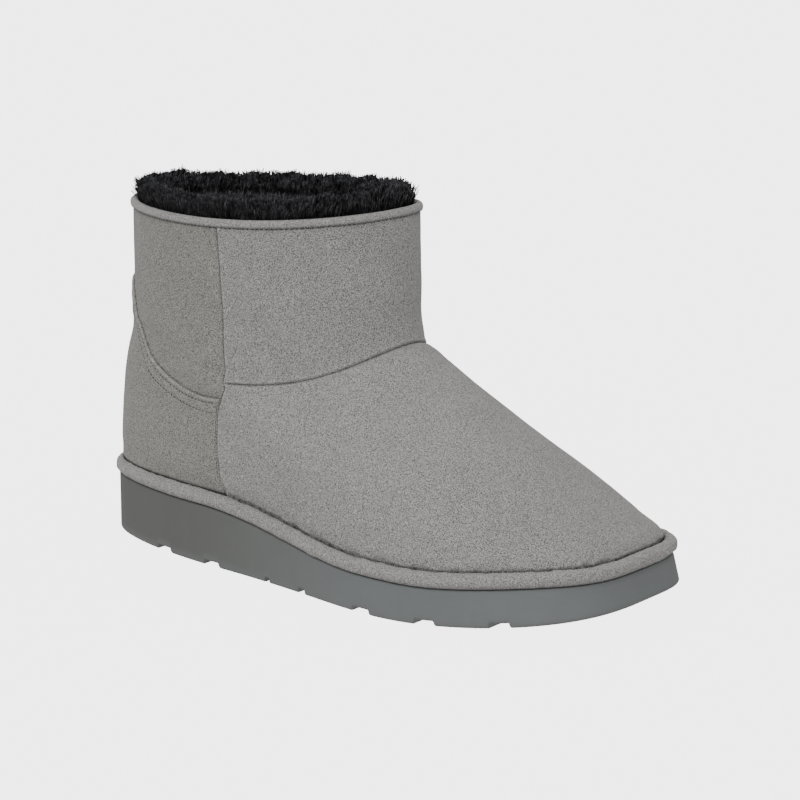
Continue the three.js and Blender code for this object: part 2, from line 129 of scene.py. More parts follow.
def direction(azimuth: float, elevation: float) -> Array:
    """Return the way out from the boot at degrees round from its outer side and up."""
    az, el = math.radians(azimuth), math.radians(elevation)
    return np.array([math.sin(az) * math.cos(el), -math.cos(az) * math.cos(el), math.sin(el)])


class TableCurve:
    """A curve through a table's points that never overshoots them."""

    def __init__(self, places: Array | list[float], values: Array | list[float]) -> None:
        """Keep the points and work out the slope at each of them.

        Args:
            places: Where the points stand, rising.
            values: The curve's value at each of them.
        """
        self.places = np.asarray(places, float)
        self.values = np.asarray(values, float)
        steep = np.diff(self.values) / np.diff(self.places)
        product = steep[:-1] * steep[1:]
        total = steep[:-1] + steep[1:]
        safe = np.where(product > 0, total, 1.0)
        inner = np.where(product > 0, 2.0 * product / safe, 0.0)
        self.slopes = np.concatenate([[steep[0]], inner, [steep[-1]]])

    def __call__(self, place: Array | float) -> Array:
        """Read the curve.

        Args:
            place: Where to read the curve.

        Returns:
            The values there.
        """
        at = np.clip(place, self.places[0], self.places[-1])
        i = np.clip(np.searchsorted(self.places, at) - 1, 0, len(self.places) - 2)
        span = self.places[i + 1] - self.places[i]
        u = (at - self.places[i]) / span
        v = 1.0 - u
        return (self.values[i] * (1 + 2 * u) * v * v + self.values[i + 1] * (1 + 2 * v) * u * u
                + span * u * v * (self.slopes[i] * v - self.slopes[i + 1] * u))


# The boot's form, in mm

SLICE_NAMES = ("height", "back", "front", "lateral", "medial", "toe", "heel", "skew", "waist", "swing")


@dataclass(frozen=True)
class SoleSizes:
    """The sole's outline, wedge, toe spring and grooves."""

    length: float = 286.0
    toe_end: float = 144.6
    ball_width: float = 112.0
    heel_height: float = 27.6
    ball_height: float = 16.7
    toe_height: float = 23.5
    wedge: tuple[float, float] = (-64.0, 39.0)
    toe_rise_from: float = 60.0
    spring_from: float = 46.8
    spring_rise: float = 10.5
    spring_power: float = 1.68
    toe_flare: float = 2.8
    edge_round: float = 1.6
    groove_depth: float = 2.1
    groove_places: tuple[float, ...] = (-90.3, -56.7, -20.2, 2.6, 40.1, 74.0, 107.9)
    groove_widths: tuple[float, ...] = (11.3, 10.9, 3.2, 4.9, 10.8, 11.0, 9.4)

    def outline(self) -> dict[str, float]:
        """Name the values of the ground edge's outline.

        Returns:
            Ends and half widths in mm, and the outline's shape values.
        """
        return {
            "back": self.toe_end - self.length, "front": self.toe_end,
            "lateral": 0.528 * self.ball_width, "medial": 0.487 * self.ball_width,
            "toe": 0.57, "heel": 0.74, "skew": 0.24, "waist": 0.10, "waist_in": 0.16, "swing": 5.9,
        }


@dataclass(frozen=True)
class UpperSizes:
    """The upper's horizontal sections, seams and top line.

    Each slice has its height in percent of the instep height, its back and front in percent
    of the sole's length, and its half widths in percent of the ball width.
    """

    instep_height: float = 105.5
    slices: tuple[tuple[float, ...], ...] = (
        (22.7, -48.7, 49.0, 48.7, 44.6, 0.60, 0.77, 0.24, 0.10, 5.6),
        (30.3, -48.7, 46.3, 48.5, 44.6, 0.63, 0.78, 0.24, 0.10, 5.4),
        (34.5, -48.8, 45.9, 48.3, 44.5, 0.66, 0.79, 0.23, 0.09, 5.2),
        (41.7, -49.0, 42.6, 47.9, 44.3, 0.71, 0.81, 0.20, 0.08, 5.0),
        (55.0, -49.1, 35.2, 46.6, 43.4, 0.82, 0.86, 0.16, 0.06, 4.0),
        (68.2, -48.9, 27.3, 44.8, 42.3, 0.92, 0.90, 0.13, 0.04, 3.0),
        (83.4, -48.0, 18.0, 43.0, 41.2, 0.97, 0.94, 0.10, 0.02, 1.8),
        (93.8, -47.0, 11.3, 42.1, 41.1, 1.00, 0.96, 0.09, 0.00, 1.0),
        (97.6, -46.9, 9.3, 42.0, 41.1, 1.00, 0.97, 0.09, 0.00, 0.8),
        (100.0, -47.0, 7.3, 42.0, 41.1, 1.00, 0.97, 0.09, 0.00, 0.6),
        (106.2, -47.1, 6.7, 41.9, 41.2, 1.00, 0.98, 0.10, 0.00, 0.3),
        (117.5, -47.3, 6.2, 42.0, 42.0, 1.00, 1.00, 0.11, 0.00, 0.0),
        (134.6, -47.3, 5.6, 42.6, 43.6, 1.00, 1.00, 0.13, 0.00, 0.0),
        (157.3, -47.1, 5.0, 43.4, 45.5, 1.00, 1.00, 0.15, 0.00, 0.0),
    )
    side_seam: tuple[tuple[float, float], ...] = (
        (30, 68), (45, 71), (54, 73.2), (64, 77.5), (74, 83.8), (79, 89.3), (87, 97), (93, 98.6), (157, 99),
    )
    counter_edge: tuple[tuple[float, float], ...] = (
        (0, 122.6), (12, 122.4), (20, 122), (25, 121), (30, 118.6), (34, 114.4), (38.5, 108.8),
        (43, 103.2), (47.5, 97), (52, 91.3), (58, 86), (65, 82), (72, 79.2), (79.5, 78.2), (90, 79),
    )
    vamp_side: float = 86.1
    vamp_line: float = 3.0
    vamp_cube: float = 16.5
    crease: tuple[float, float] = (-0.6, 0.2)
    dip_fade: tuple[float, float] = (45.0, 140.0)  # heights where the dip of the vamp seam fades out
    inner_waist: float = 1.5  # how much narrower the waist is on the inner side
    foot_fade: float = 9.0
    feather_inward: float = 4.3
    feather_heel: float = 2.7
    feather_up: float = 6.6
    collar_height: float = 161.5
    collar_middle: float = -60.0
    collar_forward: float = 0.037
    collar_dip: float = 2.3
    collar_half_width: float = 50.0
    wall: float = 2.2


class BootForm:
    """The shape that every piece follows: outline, sole heights, upper, seams and top line."""

    def __init__(self, sole: SoleSizes, upper: UpperSizes) -> None:
        """Turn the tables into curves.

        Args:
            sole: The sole's sizes.
            upper: The upper's sizes.
        """
        self.sole_sizes = sole
        self.upper_sizes = upper
        table = np.array(upper.slices)
        heights = table[:, 0] * upper.instep_height / 100
        scales = {"back": sole.length / 100, "front": sole.length / 100,
                  "lateral": sole.ball_width / 100, "medial": sole.ball_width / 100}
        self.slices = {name: TableCurve(heights, table[:, k] * scales.get(name, 1.0))
                       for k, name in enumerate(SLICE_NAMES) if k}
        self.side_degrees = TableCurve(*zip(*upper.side_seam))
        self.counter_edge = TableCurve(*zip(*upper.counter_edge))
        self.edge = sole.outline()

    @staticmethod
    def outline(angle: Array, form: dict[str, Array | float]) -> tuple[Array, Array]:
        """Draw a foot-shaped outline.

        Args:
            angle: Where on the outline: 0 is the toe, below 0 the outer side.
            form: The outline's named values, as SoleSizes.outline gives them.

        Returns:
            The points' x and y.
        """
        c, s = np.cos(angle), np.sin(angle)
        power = mix(form["heel"], form["toe"], (1 + c) / 2)
        waist = np.where(s < 0, form["waist"], form["waist_in"])
        hollow = waist * np.exp(-((c + 0.15) / 0.38) ** 2)
        half = np.where(s < 0, form["lateral"], form["medial"]) * (1 + form["skew"] * c - hollow)
        x = (form["front"] + form["back"]) / 2 + (form["front"] - form["back"]) / 2 * c
        return x, np.sign(s) * half * np.abs(s) ** power + form["swing"] * c ** 3

    def sole(self, angle: Array, inward: Array | float, share: Array | float) -> tuple[Array, Array]:
        """Draw the sole's outline, moved inward.

        Args:
            angle: Where on the outline.
            inward: How far inward the points lie, in mm.
            share: Share of the way up the wall, 0 at the ground.

        Returns:
            The points' x and y.
        """
        x, y = self.outline(angle, self.edge)
        x1, y1 = self.outline(angle + 0.02, self.edge)
        x0, y0 = self.outline(angle - 0.02, self.edge)
        size = np.hypot(x1 - x0, y1 - y0)
        off = inward + self.sole_sizes.toe_flare * share * ease(0.2, 1.0, np.cos(angle))
        return x - (y1 - y0) / size * off, y + (x1 - x0) / size * off

    def top(self, x: Array) -> Array:
        """Work out the height of the sole's upper face.

        Args:
            x: Where along the sole.

        Returns:
            The heights there.
        """
        s = self.sole_sizes
        wedge = (s.ball_height - s.heel_height) * ease(*s.wedge, x)
        return s.heel_height + wedge + (s.toe_height - s.ball_height) * ease(s.toe_rise_from, s.toe_end, x)

    def ground(self, x: Array) -> Array:
        """Work out the height of the sole's ground face without its grooves.

        Args:
            x: Where along the sole.

        Returns:
            The heights there.
        """
        s = self.sole_sizes
        share = np.clip((x - s.spring_from) / (s.toe_end - s.spring_from), 0.0, 1.0)
        return s.spring_rise * share ** s.spring_power

    def feather_inward(self, angle: Array) -> Array:
        """Return how far the upper stands in from the sole's edge."""
        u = self.upper_sizes
        return mix(u.feather_inward, u.feather_heel, ease(0.5, 1.0, -np.cos(angle)))

    def feather(self, angle: Array) -> Array:
        """Return the line where the upper comes out of the welt."""
        x, y = self.sole(angle, self.feather_inward(angle), 1.0)
        return np.stack([x, y, self.top(x) + self.upper_sizes.feather_up], -1)

    def vamp_seam(self, angle: Array) -> Array:
        """Work out the height of the vamp seam.

        Args:
            angle: Where round the boot.

        Returns:
            The seam's heights there.
        """
        u = self.upper_sizes
        c = np.maximum(np.cos(angle), 0.0)
        return u.vamp_side + u.vamp_line * c + u.vamp_cube * c ** 3

    def face(self, angle: Array, z: Array) -> Array:
        """Place points on the upper's outer face.

        Args:
            angle: Where round the boot.
            z: The points' heights.

        Returns:
            The points, with x, y and z on the last axis.
        """
        angle, z = np.broadcast_arrays(np.asarray(angle, float), np.asarray(z, float))
        seam = self.vamp_seam(angle)
        dip = self.vamp_seam(0.0) - seam
        u = self.upper_sizes
        near = np.where(z < seam, ease(u.dip_fade[0], seam, z), 1 - ease(seam, u.dip_fade[1], z))
        height = z + dip * near * ease(*u.crease, np.cos(angle))
        form = {name: curve(height) for name, curve in self.slices.items()}
        form["waist_in"] = form["waist"] * u.inner_waist
        x, y = self.outline(angle, form)
        feather = self.feather(angle)
        free = ease(0.0, u.foot_fade, z - feather[..., 2])
        return np.stack([mix(feather[..., 0], x, free), mix(feather[..., 1], y, free), z], -1)

    def normal(self, angle: Array, z: Array) -> Array:
        """Work out the outward direction of the upper's face.

        Args:
            angle: Where round the boot.
            z: The heights.

        Returns:
            One unit direction for each point.
        """
        along = self.face(angle + 0.02, z) - self.face(angle - 0.02, z)
        up = self.face(angle, z + 0.5) - self.face(angle, z - 0.5)
        across = np.cross(along, up)
        return across / np.linalg.norm(across, axis=-1, keepdims=True)

    def level_normal(self, angle: Array, z: Array) -> Array:
        """Return the outward direction along the ground."""
        flat = self.normal(angle, z) * (1, 1, 0)
        return flat / np.linalg.norm(flat, axis=-1, keepdims=True)

    def top_line(self, angle: Array) -> Array:
        """Follow the upper's face to its top line.

        Args:
            angle: Where round the boot.

        Returns:
            The points of the top line.
        """
        u = self.upper_sizes
        z = np.full(np.shape(angle), u.collar_height)
        for _ in range(3):
            point = self.face(angle, z)
            climb = u.collar_forward * (point[..., 0] - u.collar_middle)
            z = u.collar_height + climb - u.collar_dip * (point[..., 1] / u.collar_half_width) ** 2
        return self.face(angle, z)

    def collar(self, angle: Array, inward: Array | float, up: Array | float) -> Array:
        """Place points beside the top line.

        Args:
            angle: Where round the boot.
            inward: How far inward from the upper's face, in mm.
            up: How far above the top line, in mm.

        Returns:
            The points.
        """
        line = self.top_line(angle)
        z = line[..., 2]
        foot = np.minimum(z + up, z)
        point = self.face(angle, foot) - self.level_normal(angle, foot) * np.asarray(inward)[..., None]
        point[..., 2] = z + up
        return point

    def columns(self, back: int, front: int) -> tuple[Array, Array]:
        """Return each column's share of the way from heel to side seam, and from there to the toe.

        Args:
            back: Columns between the heel and a side seam.
            front: Columns between a side seam and the toe.

        Returns:
            Each column's share all round, from 0 at the heel over 1 at the seam to 2 at the toe, and its
            side: -1 on the outer half and 1 on the inner half.
        """
        def even(count: int, ends: float) -> Array:
            """Return steps from 0 to 1 that crowd together at both ends."""
            s = np.linspace(0, 1, count + 1)
            return mix(s * s * (3 - 2 * s), s, ends)
        behind, ahead = even(back, 0.2), even(front, 0.2)
        half = np.concatenate([behind[:-1], 1 + ahead])
        return np.concatenate([half, half[-2:0:-1]]), np.concatenate(
            [-np.ones(len(half)), np.ones(len(half) - 2)])

    def column_angles(self, place: Array, side: Array, z: Array | float) -> Array:
        """Turn columns that follow the side seams into angles.

        Args:
            place: Each column's share of the way, from columns.
            side: Each column's side, from columns.
            z: The height or heights.

        Returns:
            The columns' angles at that height.
        """
        seam = np.radians(self.side_degrees(z))
        angle = np.where(place <= 1, math.pi - seam * place, (math.pi - seam) * (2 - place))
        return side * angle


def frame_shift(form: BootForm) -> Array:
    """Compare the frame's middle with the form's own.

    Args:
        form: The boot's form.

    Returns:
        The move in mm, with none upward.
    """
    low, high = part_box("outsole")
    angle = np.linspace(-math.pi, math.pi, 721)
    x, y = form.sole(angle, 0.0, 0.0)
    return np.array([(low.x + high.x) / 2 / MM - (x.min() + x.max()) / 2,
                     (low.y + high.y) / 2 / MM - (y.min() + y.max()) / 2, 0.0])


FORM = BootForm(SoleSizes(), UpperSizes())
SHIFT = frame_shift(FORM)


# Meshes

def place_object(name: str, data: bpy.types.ID) -> bpy.types.Object:
    """Put an object of some data into the scene.

    Args:
        name: The object's name.
        data: Its mesh, curve, lamp or camera.

    Returns:
        The object.
    """
    made = bpy.data.objects.new(name, data)
    bpy.context.scene.collection.objects.link(made)
    return made


@dataclass
class Sheet:
    """A mesh in the making: points in mm, faces, and values kept on its points."""

    points: Array
    faces: list[Array]
    values: dict[str, Array] = field(default_factory=dict)
    slots: Array | None = None

    def build(self, name: str) -> bpy.types.Object:
        """Make the mesh in the frame, in metres, with its faces outward and shaded smooth.

        Args:
            name: The piece's name.

        Returns:
            The mesh object.
        """
        mesh = bpy.data.meshes.new(name)
        place = (self.points.reshape(-1, 3) + SHIFT) * MM
        loops = np.concatenate([f.ravel() for f in self.faces])
        sizes = np.concatenate([np.full(len(f), f.shape[1]) for f in self.faces])
        mesh.vertices.add(len(place))
        mesh.vertices.foreach_set("co", place.ravel())
        mesh.loops.add(len(loops))
        mesh.loops.foreach_set("vertex_index", loops.astype(np.int32))
        mesh.polygons.add(len(sizes))
        mesh.polygons.foreach_set("loop_start", np.concatenate([[0], np.cumsum(sizes)[:-1]]).astype(np.int32))
        if self.slots is not None:
            mesh.polygons.foreach_set("material_index", self.slots.astype(np.int32))
        for key, value in self.values.items():
            kept = mesh.attributes.new(key, "FLOAT", "POINT")
            kept.data.foreach_set("value", np.ravel(value).astype(np.float32))
        mesh.update(calc_edges=True)
        mesh.validate()
        mesh.shade_smooth()
        turn_outward(mesh)
        return place_object(name, mesh)


def ring_faces(rings: int, count: int, closed: bool) -> Array:
    """Return the quads between rings of points, with faces outward where rings climb.

    Args:
        rings: How many rings there are.
        count: Points in each ring, counted anticlockwise from above.
        closed: Whether the last ring joins the first.

    Returns:
        One row of four point numbers for each face.
    """
    row = np.arange(rings if closed else rings - 1)[:, None]
    col = np.arange(count)[None, :]
    low, high = row * count, (row + 1) % rings * count
    ahead = (col + 1) % count
    return np.stack([low + col, low + ahead, high + ahead, high + col], -1).reshape(-1, 4)


def cap_faces(first: int, count: int, up: bool) -> list[Array]:
    """Close a ring with strips across it.

    Args:
        first: Number of the ring's first point.
        count: Points in the ring, where points k and count - k lie across from each other.
        up: Whether the faces look up.

    Returns:
        Quads across the ring, and a triangle at each end.
    """
    k = np.arange(1, count // 2 - 1)
    quads = np.stack([first + k, first + k + 1, first + count - k - 1, first + count - k], -1)
    half = count // 2
    ends = np.array([[first, first + 1, first + count - 1],
                     [first + half - 1, first + half, first + half + 1]])
    return [quads, ends] if up else [quads[:, ::-1], ends[:, ::-1]]


def stack_faces(rings: int, count: int) -> list[Array]:
    """Return the faces of a stack of rings, closed below and above."""
    caps = cap_faces(0, count, False) + cap_faces((rings - 1) * count, count, True)
    return [ring_faces(rings, count, False), *caps]


def turn_outward(mesh: bpy.types.Mesh) -> None:
    """Turn a mesh's faces so that the volume they sweep from the origin is positive.

    Args:
        mesh: The mesh.
    """
    co = np.zeros(len(mesh.vertices) * 3)
    mesh.vertices.foreach_get("co", co)
    co = co.reshape(-1, 3)
    mesh.calc_loop_triangles()
    tri = np.zeros(len(mesh.loop_triangles) * 3, np.int32)
    mesh.loop_triangles.foreach_get("vertices", tri)
    a, b, c = (co[tri.reshape(-1, 3)[:, k]] for k in range(3))
    if np.einsum("ij,ij->i", a, np.cross(b, c)).sum() < 0:
        mesh.flip_normals()


# Finishes

def linear(code: str) -> tuple[float, float, float, float]:
    """Turn an sRGB hex colour to linear values with full opacity."""
    parts = [int(code[k:k + 2], 16) / 255 for k in (1, 3, 5)]
    return (*[p / 12.92 if p <= 0.04045 else ((p + 0.055) / 1.055) ** 2.4 for p in parts], 1.0)


class Tree:
    """A node tree with one way of adding a node."""

    def __init__(self, tree: bpy.types.NodeTree) -> None:
        """Keep the tree."""
        self.tree = tree

    def add(self, kind: str, settings: dict | None = None, **inputs: object) -> bpy.types.Node:
        """Add a node.

        Args:
            kind: The node's type name.
            settings: Properties to set before the inputs.
            inputs: Socket values or sockets to link, by name with _ for a space, or s0, s1 by number.

        Returns:
            The new node.
        """
        node = self.tree.nodes.new(kind)
        for key, value in (settings or {}).items():
            setattr(node, key, value)
        self.fill(node, inputs)
        return node

    def fill(self, node: bpy.types.Node, inputs: dict[str, object]) -> None:
        """Set or link a node's sockets.

        Args:
            node: The node.
            inputs: Socket values or sockets to link, with keys as in add.
        """
        for key, value in inputs.items():
            number = key[1:] if key[0] == "s" and key[1:].isdigit() else None
            socket = node.inputs[int(number)] if number else node.inputs[key.replace("_", " ")]
            if isinstance(value, bpy.types.NodeSocket):
                self.tree.links.new(value, socket)
            else:
                socket.default_value = value


class Surface:
    """A material in the making, with its node tree."""

    def __init__(self, name: str) -> None:
        """Start the material.

        Args:
            name: The material's name.
        """
        self.material = bpy.data.materials.new(name)
        self.material.use_nodes = True
        self.tree = Tree(self.material.node_tree)

    def finish(self, **inputs: object) -> bpy.types.Material:
        """Set or link the shader's sockets and return the material."""
        self.tree.fill(self.material.node_tree.nodes["Principled BSDF"], inputs)
        return self.material


@dataclass(frozen=True)
class Napped:
    """Napped suede or felt: short fibres that scatter light, so it is dull, soft and speckled."""

    name: str
    dark: str
    light: str
    grain_mm: float = 0.62  # tufts of nap; real fibres are finer, drawn as coarse as they need to show
    patch_mm: float = 18.0
    bump_mm: float = 0.12
    sheen: float = 0.12
    spread: tuple[float, float] = (0.35, 0.75)  # of the noise, from the dark fibres to the light ones
    cloud: float = 0.025  # how far patches of the hide differ in tone
    warm: tuple[float, float, float] = (1.03, 1.0, 0.955)  # hides of the back panels, against the front ones

    def make(self) -> bpy.types.Material:
        """Make the material.

        Returns:
            The material.
        """
        surface = Surface(self.name)
        tree = surface.tree
        place = tree.add("ShaderNodeTexCoord").outputs["Object"]
        grain = tree.add("ShaderNodeTexNoise", Vector=place, Scale=1 / (self.grain_mm * MM), Detail=1.0,
                         Roughness=0.8).outputs["Fac"]
        patch = tree.add("ShaderNodeTexNoise", Vector=place, Scale=1 / (self.patch_mm * MM), Detail=3.0,
                         Roughness=0.55).outputs["Fac"]
        spread = tree.add("ShaderNodeMapRange", Value=grain, From_Min=self.spread[0],
                          From_Max=self.spread[1]).outputs[0]
        nap = tree.add("ShaderNodeMix", {"data_type": "RGBA"}, s0=spread, s6=linear(self.dark),
                       s7=linear(self.light)).outputs[2]
        hide = tree.add("ShaderNodeAttribute", {"attribute_name": "warm"}).outputs["Fac"]
        tint = tree.add("ShaderNodeMix", {"data_type": "VECTOR"}, s0=hide, s4=(1.0, 1.0, 1.0),
                        s5=self.warm).outputs[1]
        base = tree.add("ShaderNodeVectorMath", {"operation": "MULTIPLY"}, s0=nap, s1=tint).outputs[0]
        cloud = tree.add("ShaderNodeMapRange", Value=patch, From_Min=NOISE_LOW, From_Max=NOISE_HIGH,
                         To_Min=1 - self.cloud, To_Max=1 + self.cloud).outputs[0]
        # The tone attribute carries the panels' own tones with painted shade in the seams and painted
        # highlight on the edges.
        tone = tree.add("ShaderNodeAttribute", {"attribute_name": "tone"}).outputs["Fac"]
        amount = tree.add("ShaderNodeMath", {"operation": "MULTIPLY"}, s0=cloud, s1=tone).outputs[0]
        shaded = tree.add("ShaderNodeVectorMath", {"operation": "SCALE"}, s0=base, Scale=amount).outputs[0]
        bump = tree.add("ShaderNodeBump", Strength=1.0, Distance=self.bump_mm * MM, Height=grain).outputs[0]
        return surface.finish(Base_Color=shaded, Normal=bump, Roughness=0.96, Specular_IOR_Level=0.12,
                              Sheen_Weight=self.sheen, Sheen_Roughness=0.6)


@dataclass(frozen=True)
class FoamRubber:
    """Moulded foam rubber: an even matte skin with faint mottling and dust near the ground."""

    name: str
    heel: str
    toe: str
    edge: str
    mottle_mm: float = 9.0
    pore_mm: float = 0.6
    fade: tuple[float, float] = (-0.09, 0.05)  # where the heel's colour turns to the toe's, in metres
    cloud: float = 0.03  # how far the mottling differs in tone

    def make(self) -> bpy.types.Material:
        """Make the material.

        Returns:
            The material.
        """
        surface = Surface(self.name)
        tree = surface.tree
        place = tree.add("ShaderNodeTexCoord").outputs["Object"]
        along = tree.add("ShaderNodeSeparateXYZ", Vector=place).outputs["X"]
        share = tree.add("ShaderNodeMapRange", {"interpolation_type": "SMOOTHSTEP"}, Value=along,
                         From_Min=self.fade[0], From_Max=self.fade[1]).outputs[0]
        base = tree.add("ShaderNodeMix", {"data_type": "RGBA"}, s0=share, s6=linear(self.heel),
                        s7=linear(self.toe)).outputs[2]
        rim = tree.add("ShaderNodeAttribute", {"attribute_name": "rim"}).outputs["Fac"]
        worn = tree.add("ShaderNodeMix", {"data_type": "RGBA"}, s0=rim, s6=base,
                        s7=linear(self.edge)).outputs[2]
        mottle = tree.add("ShaderNodeTexNoise", Vector=place, Scale=1 / (self.mottle_mm * MM), Detail=4.0,
                          Roughness=0.6).outputs["Fac"]
        cloud = tree.add("ShaderNodeMapRange", Value=mottle, From_Min=NOISE_LOW, From_Max=NOISE_HIGH,
                         To_Min=1 - self.cloud, To_Max=1 + self.cloud).outputs[0]
        shaded = tree.add("ShaderNodeVectorMath", {"operation": "SCALE"}, s0=worn, Scale=cloud).outputs[0]
        pores = tree.add("ShaderNodeTexNoise", Vector=place, Scale=1 / (self.pore_mm * MM), Detail=2.0,
                         Roughness=0.6).outputs["Fac"]
        bump = tree.add("ShaderNodeBump", Strength=0.5, Distance=0.05 * MM, Height=pores).outputs[0]
        rough = tree.add("ShaderNodeMapRange", Value=mottle, To_Min=0.6, To_Max=0.74).outputs[0]
        return surface.finish(Base_Color=shaded, Normal=bump, Roughness=rough, Specular_IOR_Level=0.3)


@dataclass(frozen=True)
class Pile:
    """Dyed wool pile: near-black roots, with paler dry tips that catch the light."""

    name: str
    root: str
    tip: str
    rough: float = 0.62
    clump_mm: float = 3.0

    def make(self) -> bpy.types.Material:
        """Make the material.

        Returns:
            The material.
        """
        surface = Surface(self.name)
        tree = surface.tree
        place = tree.add("ShaderNodeTexCoord").outputs["Object"]
        # On the strands, the tone carries each band's painted light and shade as well as the tips' own
        # paleness.
        tone = tree.add("ShaderNodeAttribute", {"attribute_name": "tone"}).outputs["Fac"]
        clump = tree.add("ShaderNodeTexNoise", Vector=place, Scale=1 / (self.clump_mm * MM), Detail=3.0,
                         Roughness=0.7).outputs["Fac"]
        lift = tree.add("ShaderNodeMapRange", Value=clump, From_Min=0.35, From_Max=0.7).outputs[0]
        share = tree.add("ShaderNodeMath", {"operation": "MULTIPLY", "use_clamp": True}, s0=tone,
                         s1=lift).outputs[0]
        base = tree.add("ShaderNodeMix", {"data_type": "RGBA"}, s0=share, s6=linear(self.root),
                        s7=linear(self.tip)).outputs[2]
        bump = tree.add("ShaderNodeBump", Strength=0.8, Distance=0.6 * MM, Height=clump).outputs[0]
        return surface.finish(Base_Color=base, Normal=bump, Roughness=self.rough, Specular_IOR_Level=0.25)


class Finish(Enum):
    """The finishes of the boot's pieces."""

    SUEDE = Napped("grey_napped_suede", "#5c5b5a", "#d9d8d6", grain_mm=0.42, bump_mm=0.05)
    FELT = Napped("grey_wool_felt_tape", "#706e6c", "#c8c6c3", grain_mm=0.55, bump_mm=0.12)
    FOAM = FoamRubber("grey_moulded_foam_rubber", "#656663", "#757878", "#757777")
    FUR = Pile("black_dyed_wool_pile", "#0b0b0c", "#78787c")
    FLEECE = Pile("black_short_fleece", "#0d0d0e", "#2b2b2d", rough=0.8, clump_mm=2.0)
    THREAD = Napped("grey_polyester_thread", "#363432", "#54524f", bump_mm=0.03)


_made: dict[Finish, bpy.types.Material] = {}


def material_of(finish: Finish) -> bpy.types.Material:
    """Look up a finish's material.

    Args:
        finish: The finish.

    Returns:
        Its material, made at the first call.
    """
    if finish not in _made:
        _made[finish] = finish.value.make()
    return _made[finish]


def dress(piece: bpy.types.Object, node: str | None, slot: str, *finishes: Finish) -> None:
    """Give a piece its materials and its body, and hide the node that it stands for.

    Args:
        piece: The piece.
        node: The node that it stands for, or None for an added piece.
        slot: The subcomponent that it belongs to. Not used.
        finishes: Its materials, in the order of its faces' slots.
    """
    if len(piece.data.materials):
        piece.data.materials.clear()
    for finish in finishes:
        piece.data.materials.append(material_of(finish))
    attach(piece, BODY)
    if node:
        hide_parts(node)
    log.info("%s: %d faces", piece.name, len(piece.data.polygons))


# Sub-assemblies

@dataclass
class Outsole:
    """The foam-rubber sole: smooth wall, rounded ground edge, cross grooves, toe spring."""

    station_mm: float = 0.55
    wall_rows: int = 8
    groove_slant: float = 0.11  # share of a groove's width that each of its walls takes up
    ground_arc: tuple[tuple[float, float], ...] = (
        (1.0, 0.0), (0.62, 0.08), (0.29, 0.29), (0.08, 0.62), (0.0, 1.0),
    )  # inward and up, in radii of the ground edge
    top_lip: tuple[tuple[float, float], ...] = (
        (0.0, -1.2), (0.12, -0.5), (0.5, -0.1), (1.2, 0.0), (9.0, 0.0),
    )  # inward and up from the top edge, in mm
    unevenness: tuple[Wave, ...] = (Wave(0.12, 34.0, 5),)
    dust: float = 0.6

    def stations(self) -> Array:
        """Space the angles of one side evenly along the ground edge.

        Returns:
            Angles from the heel to the toe.
        """
        fine = np.linspace(0, math.pi, 4001)
        x, y = FORM.sole(-fine, 0.0, 0.0)
        reach = np.concatenate([[0], np.cumsum(np.hypot(np.diff(x), np.diff(y)))])
        count = int(reach[-1] / self.station_mm)
        return np.interp(np.linspace(0, reach[-1], count + 1), reach, fine)[::-1]

    def groove(self, x: Array) -> Array:
        """Work out how deep the grooves cut.

        Args:
            x: Where along the sole.

        Returns:
            The depths there, in mm.
        """
        s = FORM.sole_sizes
        depth = np.zeros(np.shape(x))
        for place, width in zip(s.groove_places, s.groove_widths):
            slant = self.groove_slant * width
            share = (width / 2 - np.abs(x - place)) / slant
            depth = np.maximum(depth, s.groove_depth * ease(0.0, 1.0, share))
        return depth

    def build(self) -> bpy.types.Object:
        """Build the sole.

        Returns:
            The sole.
        """
        half = -self.stations()
        angle = np.concatenate([half, -half[-2:0:-1]])
        r = FORM.sole_sizes.edge_round
        levels = [(inward * r, 0.0, up * r) for inward, up in self.ground_arc]
        levels += [(0.0, k / self.wall_rows, r * (1 - k / self.wall_rows)) for k in range(1, self.wall_rows)]
        levels += [(inward, 1.0, up) for inward, up in self.top_lip]
        rings, rims = [], []
        for inward, share, rise in levels:
            x, y = FORM.sole(angle, inward, share)
            low = FORM.ground(x) + self.groove(x)
            z = mix(low, FORM.top(x), share) + rise
            rings.append(np.stack([x, y, z], -1))
            rims.append(np.full(len(angle), float(share == 0.0 and rise > 0)) * self.dust)
        wide = np.array(rings)
        wide[1:-2] += layered(wide[1:-2], self.unevenness)[..., None] * self.outward(angle)[None]
        faces = stack_faces(len(levels), len(angle))
        piece = Sheet(wide, faces, {"rim": np.array(rims)}).build("outsole_foam")
        dress(piece, "outsole", "outsole", Finish.FOAM)
        return piece

    @staticmethod
    def outward(angle: Array) -> Array:
        """Work out the outline's outward direction.

        Args:
            angle: Where on the outline.

        Returns:
            One direction for each angle, along the ground.
        """
        x1, y1 = FORM.sole(angle, -1.0, 0.0)
        x0, y0 = FORM.sole(angle, 0.0, 0.0)
        return np.stack([x1 - x0, y1 - y0, np.zeros(len(angle))], -1)


